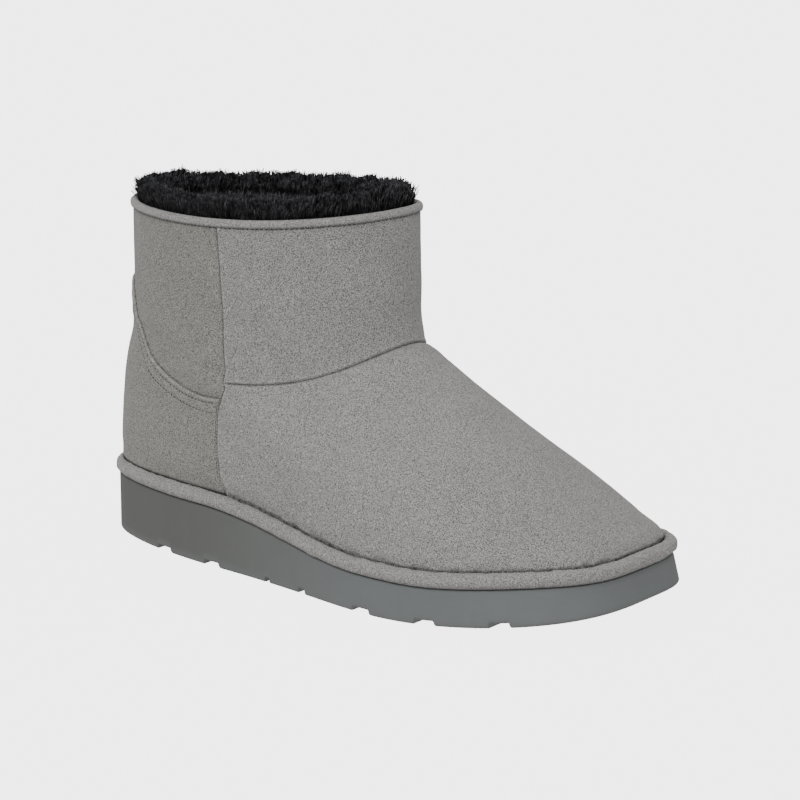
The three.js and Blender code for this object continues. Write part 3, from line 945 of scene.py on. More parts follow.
@dataclass
class Welt:
    """A roll of felt over a cord, sewn between sole and upper."""

    section: tuple[tuple[float, float], ...] = (
        (4.0, 0.3), (2.4, 0.25), (1.1, 0.3), (0.3, 0.55), (-0.5, 1.1), (-1.2, 1.9), (-1.6, 2.9), (-1.65, 3.9),
        (-1.45, 4.9), (-0.9, 5.8), (0.0, 6.5), (1.0, 6.95), (2.1, 7.15), (3.0, 6.9), (3.7, 6.2), (4.0, 5.0),
    )  # inward and up from the sole's top edge, in mm
    lump_mm: float = 0.36
    lumps: tuple[Wave, ...] = (Wave(0.5, 9.0, 11), Wave(0.5, 3.6, 12))
    ditch: Ridge = Ridge(0.2, 0.8, -0.42)  # painted shade in the ditch over the sole
    low_shade: float = 0.06

    def build(self) -> bpy.types.Object:
        """Build the roll.

        Returns:
            The roll.
        """
        place, side = FORM.columns(80, 170)
        angle = FORM.column_angles(place, side, FORM.sole_sizes.heel_height)
        squeeze = FORM.feather_inward(angle) / FORM.upper_sizes.feather_inward
        rings, tones = [], []
        for inward, up in self.section:
            off = np.where(inward > 0, inward * squeeze, inward)
            x, y = FORM.sole(angle, off, 1.0)
            rings.append(np.stack([x, y, FORM.top(x) + up], -1))
            # Painted shade in the ditch over the sole and on the roll's low side.
            tones.append(np.full(len(angle), 1.0 + ridges(up, (self.ditch,)) - self.low_shade * (up < 2)))
        points = np.array(rings)
        lump = layered(points, self.lumps)
        free = np.array([float(up > 0.8 and inward < 3.5) for inward, up in self.section])[:, None]
        points = points + from_middle(points) * (lump * free * self.lump_mm)[..., None]
        faces = [ring_faces(len(self.section), len(angle), True)]
        piece = Sheet(points, faces, {"tone": np.array(tones)}).build("welt_roll")
        dress(piece, "welt", "welt", Finish.FELT)
        return piece


@dataclass(frozen=True)
class Fold:
    """A soft trough or ridge on the upper: its middle, reach, slant and depth (below 0 presses in)."""

    degrees: float
    height: float
    wide_mm: float
    tall_mm: float
    slant: float
    depth_mm: float


@dataclass
class Upper:
    """Shaft, vamp and back panel of napped suede: one hollow wall with its seams and soft folds."""

    back_columns: int = 68
    front_columns: int = 128
    vamp_rows: int = 84
    shaft_rows: int = 60
    inner_rows: int = 26
    side_seam: tuple[Ridge, ...] = (Ridge(-0.25, 0.42, -0.75), Ridge(0.9, 0.8, 0.45))
    vamp_seam: tuple[Ridge, ...] = (
        Ridge(-0.1, 0.6, -0.825), Ridge(-15.0, 9.0, 0.6), Ridge(-2.4, 1.8, 0.2), Ridge(1.2, 0.8, 0.2),
    )
    welt_line: tuple[Ridge, ...] = (Ridge(0.0, 1.0, -0.6), Ridge(4.5, 3.2, 0.35))
    back_sink: float = 0.12
    pucker_pitch: float = 3.1
    pucker_mm: float = 0.42
    pucker_waves: tuple[Wave, ...] = (Wave(0.3, 3.2, 6),)
    soft_waves: tuple[Wave, ...] = (Wave(0.14, 26.0, 3), Wave(0.05, 8.0, 4))
    under_counter: float = -0.1
    counter_ditch: Ridge = Ridge(0.2, 0.7, -0.25)
    vamp_even: float = 0.3  # 1 spaces the rows evenly, 0 crowds them at the ends
    shaft_even: float = 0.28
    rim_below: float = 3.3  # the wall ends this far below the top line, inside the tape
    foot_up: float = 0.3
    # The back panels' tone: their own hide, set darker still as painted shade that takes back the key lamp's
    # light on the boot's back.
    back_tone_and_painted_shade: float = 0.765
    front_gain: float = 0.15
    vamp_gain: float = 0.045
    toe_loss: float = 0.05
    toe_fade: tuple[float, float] = (50.0, 120.0)
    # Painted shade in the side seam's trough and painted highlight on the raised front panel edge beside it.
    side_seam_painted_shading: tuple[Ridge, ...] = (Ridge(-0.3, 0.3, -0.45), Ridge(0.8, 0.5, 0.15))
    # Painted shade in the vamp seam's valley and painted highlight on the raised edge above it.
    vamp_seam_painted_shading: tuple[Ridge, ...] = (Ridge(-0.05, 0.34, -0.62), Ridge(1.0, 0.6, 0.08))
    # Painted shade in the ditch just above the heel patch's top edge.
    counter_edge_painted_shade: Ridge = Ridge(0.3, 0.4, -0.34)
    # Painted shade in the crease where the upper meets the welt.
    welt_join_painted_shade: Ridge = Ridge(0.0, 0.7, -0.5)
    welt_shade_fuzz: Wave = Wave(0.6, 2.6, 21)  # how unevenly the painted shade falls along the welt
    mottle: Wave = Wave(0.015, 30.0, 22)
    tone_ends: tuple[float, float] = (0.12, 1.3)
    cool_front: float = 0.75
    fold_radius: float = 52.0  # turns a fold's degrees round the shaft into mm
    folds: tuple[Fold, ...] = (
        Fold(-16, 116, 30, 7, 0.10, -0.5), Fold(24, 116, 28, 7, -0.10, -0.5),
        Fold(-4, 129, 40, 9, 0.0, 0.3), Fold(-52, 126, 9, 24, 0.35, -0.4),
        Fold(-68, 112, 24, 8, -0.30, -0.4), Fold(60, 122, 10, 24, -0.3, -0.4),
        Fold(-104, 132, 12, 22, 0.12, -0.35), Fold(112, 128, 14, 24, -0.1, -0.4),
        Fold(-78, 60, 14, 17, 0.3, 0.4), Fold(-40, 74, 22, 10, 0.35, 0.45),
        Fold(-52, 52, 26, 9, 0.15, -0.4), Fold(66, 62, 20, 12, -0.2, -0.35),
    )

    def heights(self, place: Array, side: Array) -> Array:
        """Space the rows from the feather line to the rim.

        Args:
            place: Each column's share of the way.
            side: Each column's side.

        Returns:
            One row of heights for each row of the wall.
        """
        feather_angle = FORM.column_angles(place, side, FORM.sole_sizes.heel_height)
        seam_angle = FORM.column_angles(place, side, FORM.upper_sizes.vamp_side)
        top_angle = FORM.column_angles(place, side, FORM.upper_sizes.collar_height)
        low = FORM.feather(feather_angle)[:, 2]
        seam = FORM.vamp_seam(seam_angle)
        rim = FORM.top_line(top_angle)[:, 2] - self.rim_below
        s = np.linspace(0, 1, self.vamp_rows + 1)[:, None]
        vamp = mix(low, seam, mix(s * s * (3 - 2 * s), s, self.vamp_even))
        s = np.linspace(0, 1, self.shaft_rows + 1)[1:, None]
        shaft = mix(seam, rim, mix(s * s, s, self.shaft_even))
        return np.concatenate([vamp, shaft])

    def build(self) -> bpy.types.Object:
        """Build the wall.

        Returns:
            The wall, with suede outside and fleece inside.
        """
        place, side = FORM.columns(self.back_columns, self.front_columns)
        z = self.heights(place, side)
        angle = FORM.column_angles(place[None], side[None], z)
        base = FORM.face(angle, z)
        normal = FORM.normal(angle, z)
        across = self.side_distance(base)
        along = self.vamp_distance(base)
        feather = z - z[:1]
        ahead = (place >= 1)[None]
        out = self.relief(angle, z, across, along, feather, ahead, base)
        outer = base + normal * out[..., None]
        foot_angle = FORM.column_angles(place, side, FORM.sole_sizes.heel_height)
        foot_x, foot_y = FORM.sole(foot_angle, FORM.feather_inward(foot_angle), 1.0)
        foot = np.stack([foot_x, foot_y, np.zeros(len(place))], -1)
        foot[:, 2] = FORM.top(foot[:, 0]) + self.foot_up
        outer = np.concatenate([foot[None], outer])
        pick = np.unique(np.round(np.linspace(0, len(z) - 1, self.inner_rows)).astype(int))[::-1]
        level = FORM.level_normal(angle[pick], z[pick])
        flat = np.isin(pick, (0, len(z) - 1))[:, None, None]
        inner = base[pick] - np.where(flat, level, normal[pick]) * FORM.upper_sizes.wall
        inner_foot = foot - FORM.level_normal(foot_angle, foot[:, 2] + 8) * FORM.upper_sizes.wall
        points = np.concatenate([outer, inner, inner_foot[None]])
        over = z - FORM.counter_edge(180 - np.abs(np.degrees(angle)))
        tone = self.tones(across, along, feather, ahead, over, base)
        tone = np.concatenate([tone[:1], tone, np.ones((len(pick) + 1, len(place)))])
        warm = np.broadcast_to(1.0 - self.cool_front * (place >= 1), tone.shape)
        faces = ring_faces(len(points), len(place), True)
        row_of = np.arange(len(faces)) // len(place)
        slots = (row_of > len(z)).astype(int)
        piece = Sheet(points, [faces], {"tone": tone, "warm": warm}, slots).build("upper_suede")
        dress(piece, "upper", "upper", Finish.SUEDE, Finish.FLEECE)
        return piece

    def side_distance(self, base: Array) -> Array:
        """Measure round each row from the nearer side seam.

        Args:
            base: The plain form's points.

        Returns:
            Distances in mm, below 0 behind the seam.
        """
        step = np.linalg.norm(np.roll(base, -1, 1) - base, axis=-1)
        run = np.concatenate([np.zeros((len(base), 1)), np.cumsum(step, 1)], 1)
        count = base.shape[1]
        first, second = self.back_columns, count - self.back_columns
        here = run[:, :count]
        return np.where(np.arange(count)[None] < count // 2, here - run[:, [first]], run[:, [second]] - here)

    def vamp_distance(self, base: Array) -> Array:
        """Measure up each column from the vamp seam.

        Args:
            base: The plain form's points.

        Returns:
            Distances in mm, below 0 under the seam.
        """
        step = np.linalg.norm(np.diff(base, axis=0), axis=-1)
        run = np.concatenate([np.zeros((1, base.shape[1])), np.cumsum(step, 0)])
        return run - run[self.vamp_rows]

    def relief(self, angle: Array, z: Array, across: Array, along: Array, feather: Array, ahead: Array,
               base: Array) -> Array:
        """Return how far the face stands out from the plain form, in mm.

        Args:
            angle: Angle of each point.
            z: Height of each point.
            across: Distance from the side seam.
            along: Distance from the vamp seam.
            feather: Height over the welt.
            ahead: Whether the column is in front of the side seams.
            base: The plain form's points.

        Returns:
            The relief of each point.
        """
        out = ridges(across, self.side_seam) - self.back_sink * ease(0.0, 4.0, -across)
        vamp = ahead * ease(0.0, 6.0, across + 1.0)
        out = out + vamp * ridges(along, self.vamp_seam) + ridges(feather, self.welt_line)
        drift = 1.6 * np.sin(base[..., 0] / 13)
        scallop = np.sin(base[..., 0] / self.pucker_pitch * 2 * math.pi + drift)
        pucker = self.pucker_mm * scallop + layered(base, self.pucker_waves)
        out = out + pucker * bell(feather - 1.0, 1.3)
        for fold in self.folds:
            turn = np.radians(np.degrees(angle) - fold.degrees) * self.fold_radius
            rise = z - fold.height
            reach = ((turn * math.cos(fold.slant) + rise * math.sin(fold.slant)) / fold.wide_mm) ** 2
            reach = reach + ((rise * math.cos(fold.slant) - turn * math.sin(fold.slant)) / fold.tall_mm) ** 2
            out = out + fold.depth_mm * np.exp(-reach)
        calm = 1 - bell(along, 2.0) * vamp
        out = out + calm * layered(base, self.soft_waves)
        over = z - FORM.counter_edge(180 - np.abs(np.degrees(angle)))
        covered = (1 - ahead) * (1 - ease(-2.0, -0.6, over)) * ease(0.6, 2.0, -across)
        return mix(out, self.under_counter, covered) + (1 - ahead) * ridges(over, (self.counter_ditch,))

    def tones(self, across: Array, along: Array, feather: Array, ahead: Array, over: Array,
              base: Array) -> Array:
        """Tone the nap: painted shade in the seams, at the welt and over the heel patch's edge, painted
        highlight on the panels' edges, and back panels set darker, partly as painted shade.

        Args:
            across: Distance from the side seam.
            along: Distance from the vamp seam.
            feather: Height over the welt.
            ahead: Whether the column is in front of the side seams.
            over: Height over the heel patch's top edge.
            base: The plain form's points.

        Returns:
            The tone of each point, where 1 leaves the colour as it is.
        """
        vamp = ahead * (along < 0)
        # The back panels are set darker, partly their own hide and partly painted shade.
        tone = self.back_tone_and_painted_shade + self.front_gain * ahead + self.vamp_gain * vamp
        tone = tone - self.toe_loss * vamp * ease(*self.toe_fade, base[..., 0])
        # Painted shade in the seams and painted highlight on the panel edges beside them, the vamp seam's
        # only ahead of the side seams.
        edge = ahead * ease(0.0, 4.0, across + 1.0)
        tone = tone + ridges(across, self.side_seam_painted_shading) + edge * ridges(along, self.vamp_seam_painted_shading)
        # Painted shade where the upper meets the welt, uneven along its length.
        welt_shade_fuzz = 0.8 + layered(base, (self.welt_shade_fuzz,))
        tone = tone + welt_shade_fuzz * ridges(feather, (self.welt_join_painted_shade,))
        # Painted shade in the ditch just above the heel patch's top edge.
        tone = tone + (1 - ahead) * ridges(over, (self.counter_edge_painted_shade,))
        return np.clip(tone + layered(base, (self.mottle,)), *self.tone_ends)


@dataclass
class HeelCounter:
    """The suede patch at the heel, with its two rows of stitches."""

    columns: int = 200
    rows: int = 96
    stand_mm: float = 1.0
    lift: float = 0.1
    stitch_rows: tuple[float, ...] = (2.6, 7.6)
    stitch_pitch: float = 2.3
    stitch_sink: float = 0.12
    press_mm: float = 0.26
    swell: tuple[Ridge, ...] = (Ridge(5.1, 1.6, 0.22), Ridge(1.3, 0.7, 0.12))
    waves: tuple[Wave, ...] = (Wave(0.12, 24.0, 31), Wave(0.04, 7.0, 32))
    top_fade: tuple[float, float] = (-0.5, 0.7)  # where its thickness runs out, in mm from each edge
    end_fade: tuple[float, float] = (-0.4, 3.0)
    foot_fade: tuple[float, float] = (-1.0, 2.0)
    inner_mm: float = -0.3
    tone: float = 0.785
    stitch_shade: float = 0.05
    # Painted highlight along the patch's rolled top edge.
    painted_edge_highlight: Ridge = Ridge(0.5, 0.45, 0.2)
    foot_shade: Ridge = Ridge(0.0, 0.75, -0.5)
    end_shade: Ridge = Ridge(0.0, 0.3, -0.2)
    mottle: Wave = Wave(0.015, 28.0, 33)
    seam_share: float = 0.99  # how far it reaches towards the side seams
    search: tuple[float, float] = (27.0, 160.0)  # heights between which its top edge lies

    def edge_height(self, degrees: Array) -> Array:
        """Return the height of its top edge at an angle from the back."""
        return FORM.counter_edge(np.abs(degrees))

    def spots(self, place: Array, share: Array, out: Array | float) -> Array:
        """Place points on the patch.

        Args:
            place: Way round, from -1 to 1 between the side seams.
            share: Way up, from its foot to its top edge.
            out: How far the points stand out from the upper, in mm.

        Returns:
            The points.
        """
        side = np.where(place < 0, -1.0, 1.0)
        size = np.abs(place) * self.seam_share
        low_angle = FORM.column_angles(size, side, FORM.sole_sizes.heel_height)
        low = FORM.feather(low_angle)[..., 2] + self.lift
        bottom, top = (np.full(np.shape(place), height) for height in self.search)
        for _ in range(26):
            z = (bottom + top) / 2
            degrees = 180 - np.abs(np.degrees(FORM.column_angles(size, side, z)))
            under = z < self.edge_height(degrees)
            bottom, top = np.where(under, z, bottom), np.where(under, top, z)
        z = mix(low, bottom, share)
        angle = FORM.column_angles(size, side, z)
        return FORM.face(angle, z) + FORM.normal(angle, z) * np.asarray(out)[..., None]

    def build(self) -> list[bpy.types.Object]:
        """Build the patch and its stitches.

        Returns:
            The patch and its stitches.
        """
        s = np.linspace(-1, 1, self.columns + 1)
        place = mix(np.sin(s * math.pi / 2), s, 0.35)[None, :]
        t = np.linspace(0, 1, self.rows + 1)
        share = mix(1 - (1 - t) ** 2.2, t, 0.2)[:, None]
        place, share = np.broadcast_arrays(place, share)
        plain = self.spots(place, share, 0.0)
        ends = np.minimum(self.edge_gap(plain, 1, "last"), self.edge_gap(plain, 1, "first"))
        foot = self.edge_gap(plain, 0, "first")
        top_gap = self.edge_gap(plain, 0, "last")
        stand = self.stand_mm * ease(*self.top_fade, top_gap)
        stand = stand * ease(*self.end_fade, ends) * ease(*self.foot_fade, foot)
        press = ridges(top_gap, tuple(Ridge(row, 0.42, self.press_mm) for row in self.stitch_rows))
        rise = ridges(top_gap, self.swell) + layered(plain, self.waves) - press
        outer = self.spots(place, share, stand + rise * ease(0.0, 1.0, ends))
        inner = self.spots(place, share, self.inner_mm)
        count = outer.shape[1]
        tone = self.tone - self.stitch_shade * sum(bell(top_gap - row, 0.4) for row in self.stitch_rows)
        # Painted highlight on the rolled top edge, painted shade at the foot and the ends.
        for gap, row in ((top_gap, self.painted_edge_highlight), (foot, self.foot_shade), (ends, self.end_shade)):
            tone = tone + ridges(gap, (row,))
        tone = tone + layered(plain, (self.mottle,))
        faces = self.plate_faces(len(outer), count)
        values = {"tone": np.stack([tone, tone * 0.6]), "warm": np.ones((2, *tone.shape))}
        piece = Sheet(np.stack([outer, inner]), [faces], values).build("heel_counter_suede")
        dress(piece, "heel_counter", "heel_counter", Finish.SUEDE)
        return [piece, self.stitches()]

    @staticmethod
    def edge_gap(points: Array, axis: int, end: str) -> Array:
        """Measure each point's way along its row or column from one end.

        Args:
            points: A grid of points.
            axis: 0 to measure along columns, 1 along rows.
            end: first or last, the end to measure from.

        Returns:
            Distances in mm.
        """
        step = np.linalg.norm(np.diff(points, axis=axis), axis=-1)
        run = np.cumsum(step, axis)
        zero = np.zeros_like(run.take([0], axis))
        run = np.concatenate([zero, run], axis)
        return run if end == "first" else run.take([-1], axis) - run

    @staticmethod
    def plate_faces(rows: int, count: int) -> Array:
        """Join two grids of points to a closed plate.

        Args:
            rows: Rows in each grid.
            count: Points in each row.

        Returns:
            One row of four point numbers for each face.
        """
        r, c = np.arange(rows - 1)[:, None], np.arange(count - 1)[None]
        a = r * count + c
        front = np.stack([a, a + 1, a + count + 1, a + count], -1).reshape(-1, 4)
        back = front[:, ::-1] + rows * count
        edge = np.concatenate([np.arange(count), np.arange(1, rows) * count + count - 1,
                               (rows - 1) * count + np.arange(count - 2, -1, -1),
                               np.arange(rows - 2, 0, -1) * count])
        after = np.roll(edge, -1)
        rim = np.stack([edge, edge + rows * count, after + rows * count, after], -1)
        return np.concatenate([front, back, rim])

    def stitches(self) -> bpy.types.Object:
        """Lay two rows of thread under the patch's top edge.

        Returns:
            The stitches.
        """
        place = np.linspace(-0.97, 0.97, 700)
        share = np.linspace(0, 1, 160)
        grid = self.spots(*np.broadcast_arrays(place[None], share[:, None]), self.stand_mm - self.stitch_sink)
        gap = self.edge_gap(grid, 0, "last")
        lines = [np.array([[np.interp(-row, -gap[:, k], grid[:, k, axis]) for axis in range(3)]
                           for k in range(len(place))]) for row in self.stitch_rows]
        piece = ThreadRows(pitch_mm=self.stitch_pitch).lay("counter_stitches", lines)
        dress(piece, None, "heel_counter", Finish.THREAD)
        return piece


class NodeGroup:
    """A Geometry Nodes group with named inputs, run once on an object and made plain."""

    def __init__(self, name: str, kinds: dict[str, str]) -> None:
        """Start the group.

        Args:
            name: The group's name.
            kinds: Each input's name and its kind of value, such as Float or Int.
        """
        self.group = bpy.data.node_groups.new(name, "GeometryNodeTree")
        sockets = self.group.interface
        sockets.new_socket("Geometry", in_out="INPUT", socket_type="NodeSocketGeometry")
        self.keys = {key: sockets.new_socket(key, in_out="INPUT", socket_type="NodeSocket" + kind).identifier
                     for key, kind in kinds.items()}
        sockets.new_socket("Geometry", in_out="OUTPUT", socket_type="NodeSocketGeometry")
        self.tree = Tree(self.group)
        self.start = self.tree.add("NodeGroupInput").outputs

    def run(self, holder: bpy.types.Object, name: str, geometry: bpy.types.NodeSocket, finish: Finish,
            values: dict[str, float]) -> bpy.types.Object:
        """Run the group on an object and turn the result into a plain mesh piece.

        Args:
            holder: The object that the group starts from. It is removed.
            name: The piece's name.
            geometry: The group's result, with its instances realized.
            finish: The result's finish.
            values: The inputs' values, by name.

        Returns:
            The piece.
        """
        done = self.tree.add("GeometryNodeSetMaterial", Geometry=geometry, Material=material_of(finish))
        self.tree.add("NodeGroupOutput", Geometry=done.outputs[0])
        modifier = holder.modifiers.new(self.group.name, "NODES")
        modifier.node_group = self.group
        for key, value in values.items():
            modifier[self.keys[key]] = value
        return plain_mesh(holder, name)


@dataclass
class ThreadRows:
    """Rows of short stitches along lines, made with Geometry Nodes."""

    pitch_mm: float = 2.0
    length_mm: float = 1.35
    thick_mm: float = 0.42

    def lay(self, name: str, lines: list[Array]) -> bpy.types.Object:
        """Lay stitches along lines of points in mm and return them as one plain mesh.

        Args:
            name: The piece's name.
            lines: One array of points for each row.

        Returns:
            The stitches.
        """
        curve = bpy.data.curves.new(name + "_line", "CURVE")
        curve.dimensions = "3D"
        for line in lines:
            spline = curve.splines.new("POLY")
            spline.points.add(len(line) - 1)
            place = (line + SHIFT) * MM
            spline.points.foreach_set("co", np.c_[place, np.ones(len(place))].ravel())
        holder = place_object(name + "_line", curve)
        group = NodeGroup("stitch_rows", {"Pitch": "Float", "Length": "Float", "Thickness": "Float"})
        tree, start = group.tree, group.start
        points = tree.add("GeometryNodeCurveToPoints", {"mode": "LENGTH"}, Curve=start["Geometry"],
                          Length=start["Pitch"]).outputs
        bead = tree.add("GeometryNodeMeshUVSphere", Segments=6, Rings=4, Radius=0.5).outputs["Mesh"]
        size = tree.add("ShaderNodeCombineXYZ", X=start["Thickness"], Y=start["Thickness"],
                        Z=start["Length"]).outputs[0]
        placed = tree.add("GeometryNodeInstanceOnPoints", Points=points["Points"], Instance=bead,
                          Rotation=points["Rotation"], Scale=size).outputs[0]
        real = tree.add("GeometryNodeRealizeInstances", Geometry=placed).outputs[0]
        return group.run(holder, name, real, Finish.THREAD, {
            "Pitch": self.pitch_mm * MM, "Length": self.length_mm * MM, "Thickness": self.thick_mm * MM})


def plain_mesh(holder: bpy.types.Object, name: str) -> bpy.types.Object:
    """Turn an object's evaluated nodes into a plain mesh piece and remove the object.

    Args:
        holder: The object with the nodes.
        name: The piece's name.

    Returns:
        The piece.
    """
    bpy.context.view_layer.update()
    graph = bpy.context.evaluated_depsgraph_get()
    mesh = bpy.data.meshes.new_from_object(holder.evaluated_get(graph))
    mesh.name = name
    if "tone" not in mesh.attributes:
        kept = mesh.attributes.new("tone", "FLOAT", "POINT")
        kept.data.foreach_set("value", np.ones(len(mesh.vertices), np.float32))
    mesh.shade_smooth()
    bpy.data.objects.remove(holder)
    return place_object(name, mesh)


@dataclass
class CollarBinding:
    """Felt tape folded over the top line, with a stitched ditch below it."""

    section: tuple[tuple[float, float], ...] = (
        (2.2, -2.6), (0.3, -2.9), (0.0, -3.2), (-0.55, -3.3), (-0.95, -2.9), (-1.1, -2.1), (-1.1, -1.2),
        (-0.85, -0.4), (-0.2, 0.2), (0.7, 0.45), (1.6, 0.3), (2.3, -0.2), (2.6, -1.2),
    )  # inward and up from the top line, in mm
    lump_mm: float = 0.13
    lumps: tuple[Wave, ...] = (Wave(0.5, 14.0, 41), Wave(0.5, 5.0, 42))
    tone: float = 1.02
    ditch_shade: float = 0.5
    stitch_line: tuple[float, float] = (-0.12, -3.5)

    def build(self) -> list[bpy.types.Object]:
        """Build the tape and its stitches.

        Returns:
            The tape and its stitches.
        """
        place, side = FORM.columns(70, 120)
        angle = FORM.column_angles(place, side, FORM.upper_sizes.collar_height)
        points = np.array([FORM.collar(angle, inward, up) for inward, up in self.section])
        free = np.array([float(inward < 0.5) for inward, _ in self.section])[:, None]
        lump = layered(points, self.lumps)
        points = points + from_middle(points) * (self.lump_mm * lump * free)[..., None]
        tone = np.array([np.full(len(angle), self.tone - self.ditch_shade * (up < -2.7))
                         for _, up in self.section])
        faces = [ring_faces(len(points), len(angle), True)]
        piece = Sheet(points, faces, {"tone": tone}).build("collar_tape")
        dress(piece, "collar_binding", "collar_binding", Finish.FELT)
        line = FORM.collar(np.append(angle, angle[:1]), *self.stitch_line)
        stitches = ThreadRows(pitch_mm=2.3, length_mm=1.4, thick_mm=0.4).lay("collar_stitches", [line])
        dress(stitches, None, "collar_binding", Finish.THREAD)
        return [piece, stitches]


@dataclass(frozen=True)
class FurBand:
    """A band of strands: the sleeve's rows where it starts and ends, and its strands' looks."""

    name: str
    first: float
    last: float
    length: float  # share of the usual length
    lean: float  # how far strands follow the sleeve's own outward direction, beside straight up
    tip_paleness_and_painted_light: float  # how pale the tips are: their own paleness, raised inside the collar as painted light and lowered on the outer face and the crown as painted shade
    seed: int


@dataclass
class FurLining:
    """A sleeve of deep pile inside the collar, with strands all over its crown."""

    section: tuple[tuple[float, float], ...] = (
        (2.7, -46), (2.7, -25), (2.8, -4), (3.5, -1.2), (4.0, 0.6), (4.6, 2.2), (5.3, 3.5), (6.2, 4.2),
        (7.2, 4.3), (8.3, 3.6), (9.3, 2.2), (10.1, 0.5), (10.7, -1.8), (11.0, -7), (10.5, -17), (9.7, -29),
        (8.4, -46),
    )  # inward and up from the top line, in mm
    strand_mm: float = 5.6
    strand_thick: float = 0.34
    count: int = 11000
    lean_angle: float = 0.55  # where the crown leans inward most, round from the front
    lean_mm: float = 1.8
    lumps: tuple[Wave, ...] = (Wave(0.7, 6.0, 51), Wave(0.3, 2.5, 52))
    lump_mm: float = 0.4
    settle_mm: float = 0.3
    tone: float = 0.35
    tone_gain: float = 0.25
    tilts: tuple[tuple[float, float, float], ...] = (
        (170.0, 1.0, 0.9), (1500.0, 0.0, 0.8),
    )  # noise scale, detail and strength: whole clumps, then stray strands
    upright: tuple[float, float, float] = (0.0, 0.0, 0.8)
    bands: tuple[FurBand, ...] = (
        FurBand("fur_outer", 2.6, 5.4, 1.35, 0.0, 0.6, 61),
        FurBand("fur_crown_out", 4.8, 8.2, 0.95, 0.08, 0.45, 62),
        FurBand("fur_crown_in", 7.6, 11.8, 0.9, 0.2, 1.1, 63),
        FurBand("fur_inner", 11.2, 15.3, 1.4, 0.35, 2.4, 64),
    )

    def grid(self, first: float, last: float, fine: int) -> tuple[Array, int]:
        """Place points on the sleeve between two rows of its section.

        Args:
            first: Where in the section the grid starts.
            last: Where it ends.
            fine: Rows in the grid.

        Returns:
            The points, and how many each row has.
        """
        place, side = FORM.columns(40, 66)
        angle = FORM.column_angles(place, side, FORM.upper_sizes.collar_height)
        table = np.array(self.section)
        at = np.linspace(first, last, fine)
        rows = [(np.interp(k, np.arange(len(table)), table[:, 0]),
                 np.interp(k, np.arange(len(table)), table[:, 1])) for k in at]
        ahead = self.lean_mm * np.clip(np.cos(angle - self.lean_angle), 0, 1) ** 2
        points = [FORM.collar(angle, inward + ahead * ease(-5.0, 1.0, up), up) for inward, up in rows]
        return np.array(points), len(angle)

    def build(self) -> list[bpy.types.Object]:
        """Build the sleeve and its strands.

        Returns:
            The sleeve and its four bands of strands.
        """
        points, count = self.grid(0, len(self.section) - 1, 60)
        lump = layered(points, self.lumps)
        free = ease(-6.0, 2.0, points[..., 2] - FORM.upper_sizes.collar_height)
        push = (self.lump_mm * lump - self.settle_mm) * free
        points = points + from_middle(points) * push[..., None]
        tone = self.tone + self.tone_gain * lump
        faces = [ring_faces(len(points), count, True)]
        body = Sheet(points, faces, {"tone": tone}).build("fur_sleeve")
        dress(body, "fur_lining", "fur_lining", Finish.FUR)
        pieces = [body]
        for band in self.bands:
            strands = self.strands(band)
            dress(strands, None, "fur_lining", Finish.FUR)
            pieces.append(strands)
        return pieces

    def strands(self, band: FurBand) -> bpy.types.Object:
        """Grow strands on a band of the sleeve.

        Args:
            band: Where the strands stand and what they are like.

        Returns:
            The strands as one mesh.
        """
        points, count = self.grid(band.first, band.last, 18)
        patch = Sheet(points, [ring_faces(len(points), count, False)]).build(band.name + "_skin")
        group = NodeGroup("fur_strands", {"Density": "Float", "Length": "Float", "Lean": "Float",
                                          "Tip_Paleness_And_Painted_Light": "Float", "Thickness": "Float", "Seed": "Int"})
        tree, start = group.tree, group.start
        spread = tree.add("GeometryNodeDistributePointsOnFaces", {"distribute_method": "RANDOM"},
                          Mesh=start["Geometry"], Density=start["Density"], Seed=start["Seed"]).outputs
        line = tree.add("GeometryNodeCurveQuadraticBezier", Resolution=4, Start=(0, 0, -0.1),
                        Middle=(0.02, 0, 0.5), End=(0.30, 0, 1.0)).outputs[0]
        line = tree.add("GeometryNodeResampleCurve", {"mode": "COUNT"}, Curve=line, Count=3).outputs[0]
        factor = tree.add("GeometryNodeSplineParameter").outputs["Factor"]
        taper = tree.add("ShaderNodeMapRange", Value=factor, To_Min=1.0, To_Max=0.18).outputs[0]
        thin = tree.add("GeometryNodeSetCurveRadius", Curve=line, Radius=taper).outputs[0]
        lit = tree.add("GeometryNodeStoreNamedAttribute", {"data_type": "FLOAT", "domain": "POINT"},
                       Geometry=thin, Name="tip", Value=factor).outputs[0]
        ring = tree.add("GeometryNodeCurvePrimitiveCircle", Resolution=3,
                        Radius=start["Thickness"]).outputs[0]
        hair = tree.add("GeometryNodeCurveToMesh", Curve=lit, Profile_Curve=ring, Fill_Caps=True).outputs[0]
        place = tree.add("GeometryNodeInputPosition").outputs[0]
        pushes = []
        for scale, detail, strength in self.tilts:
            push = tree.add("ShaderNodeTexNoise", Vector=place, Scale=scale, Detail=detail).outputs["Color"]
            push = tree.add("ShaderNodeVectorMath", {"operation": "SUBTRACT"}, s0=push,
                            s1=(0.5, 0.5, 0.5)).outputs[0]
            pushes.append(tree.add("ShaderNodeVectorMath", {"operation": "SCALE"}, s0=push,
                                   Scale=strength).outputs[0])
        way = tree.add("ShaderNodeVectorMath", {"operation": "SCALE"}, s0=spread["Normal"],
                       Scale=start["Lean"]).outputs[0]
        for push in (*pushes, self.upright):
            way = tree.add("ShaderNodeVectorMath", {"operation": "ADD"}, s0=way, s1=push).outputs[0]
        turn = tree.add("FunctionNodeAlignRotationToVector", {"axis": "Z"}, Vector=way).outputs[0]
        spin = tree.add("FunctionNodeRandomValue", {"data_type": "FLOAT"}, s2=0.0, s3=6.283,
                        Seed=start["Seed"]).outputs[1]
        own = tree.add("FunctionNodeAxisAngleToRotation", Axis=(0, 0, 1), Angle=spin).outputs[0]
        turn = tree.add("FunctionNodeRotateRotation", {"rotation_space": "LOCAL"}, Rotation=turn,
                        Rotate_By=own).outputs[0]
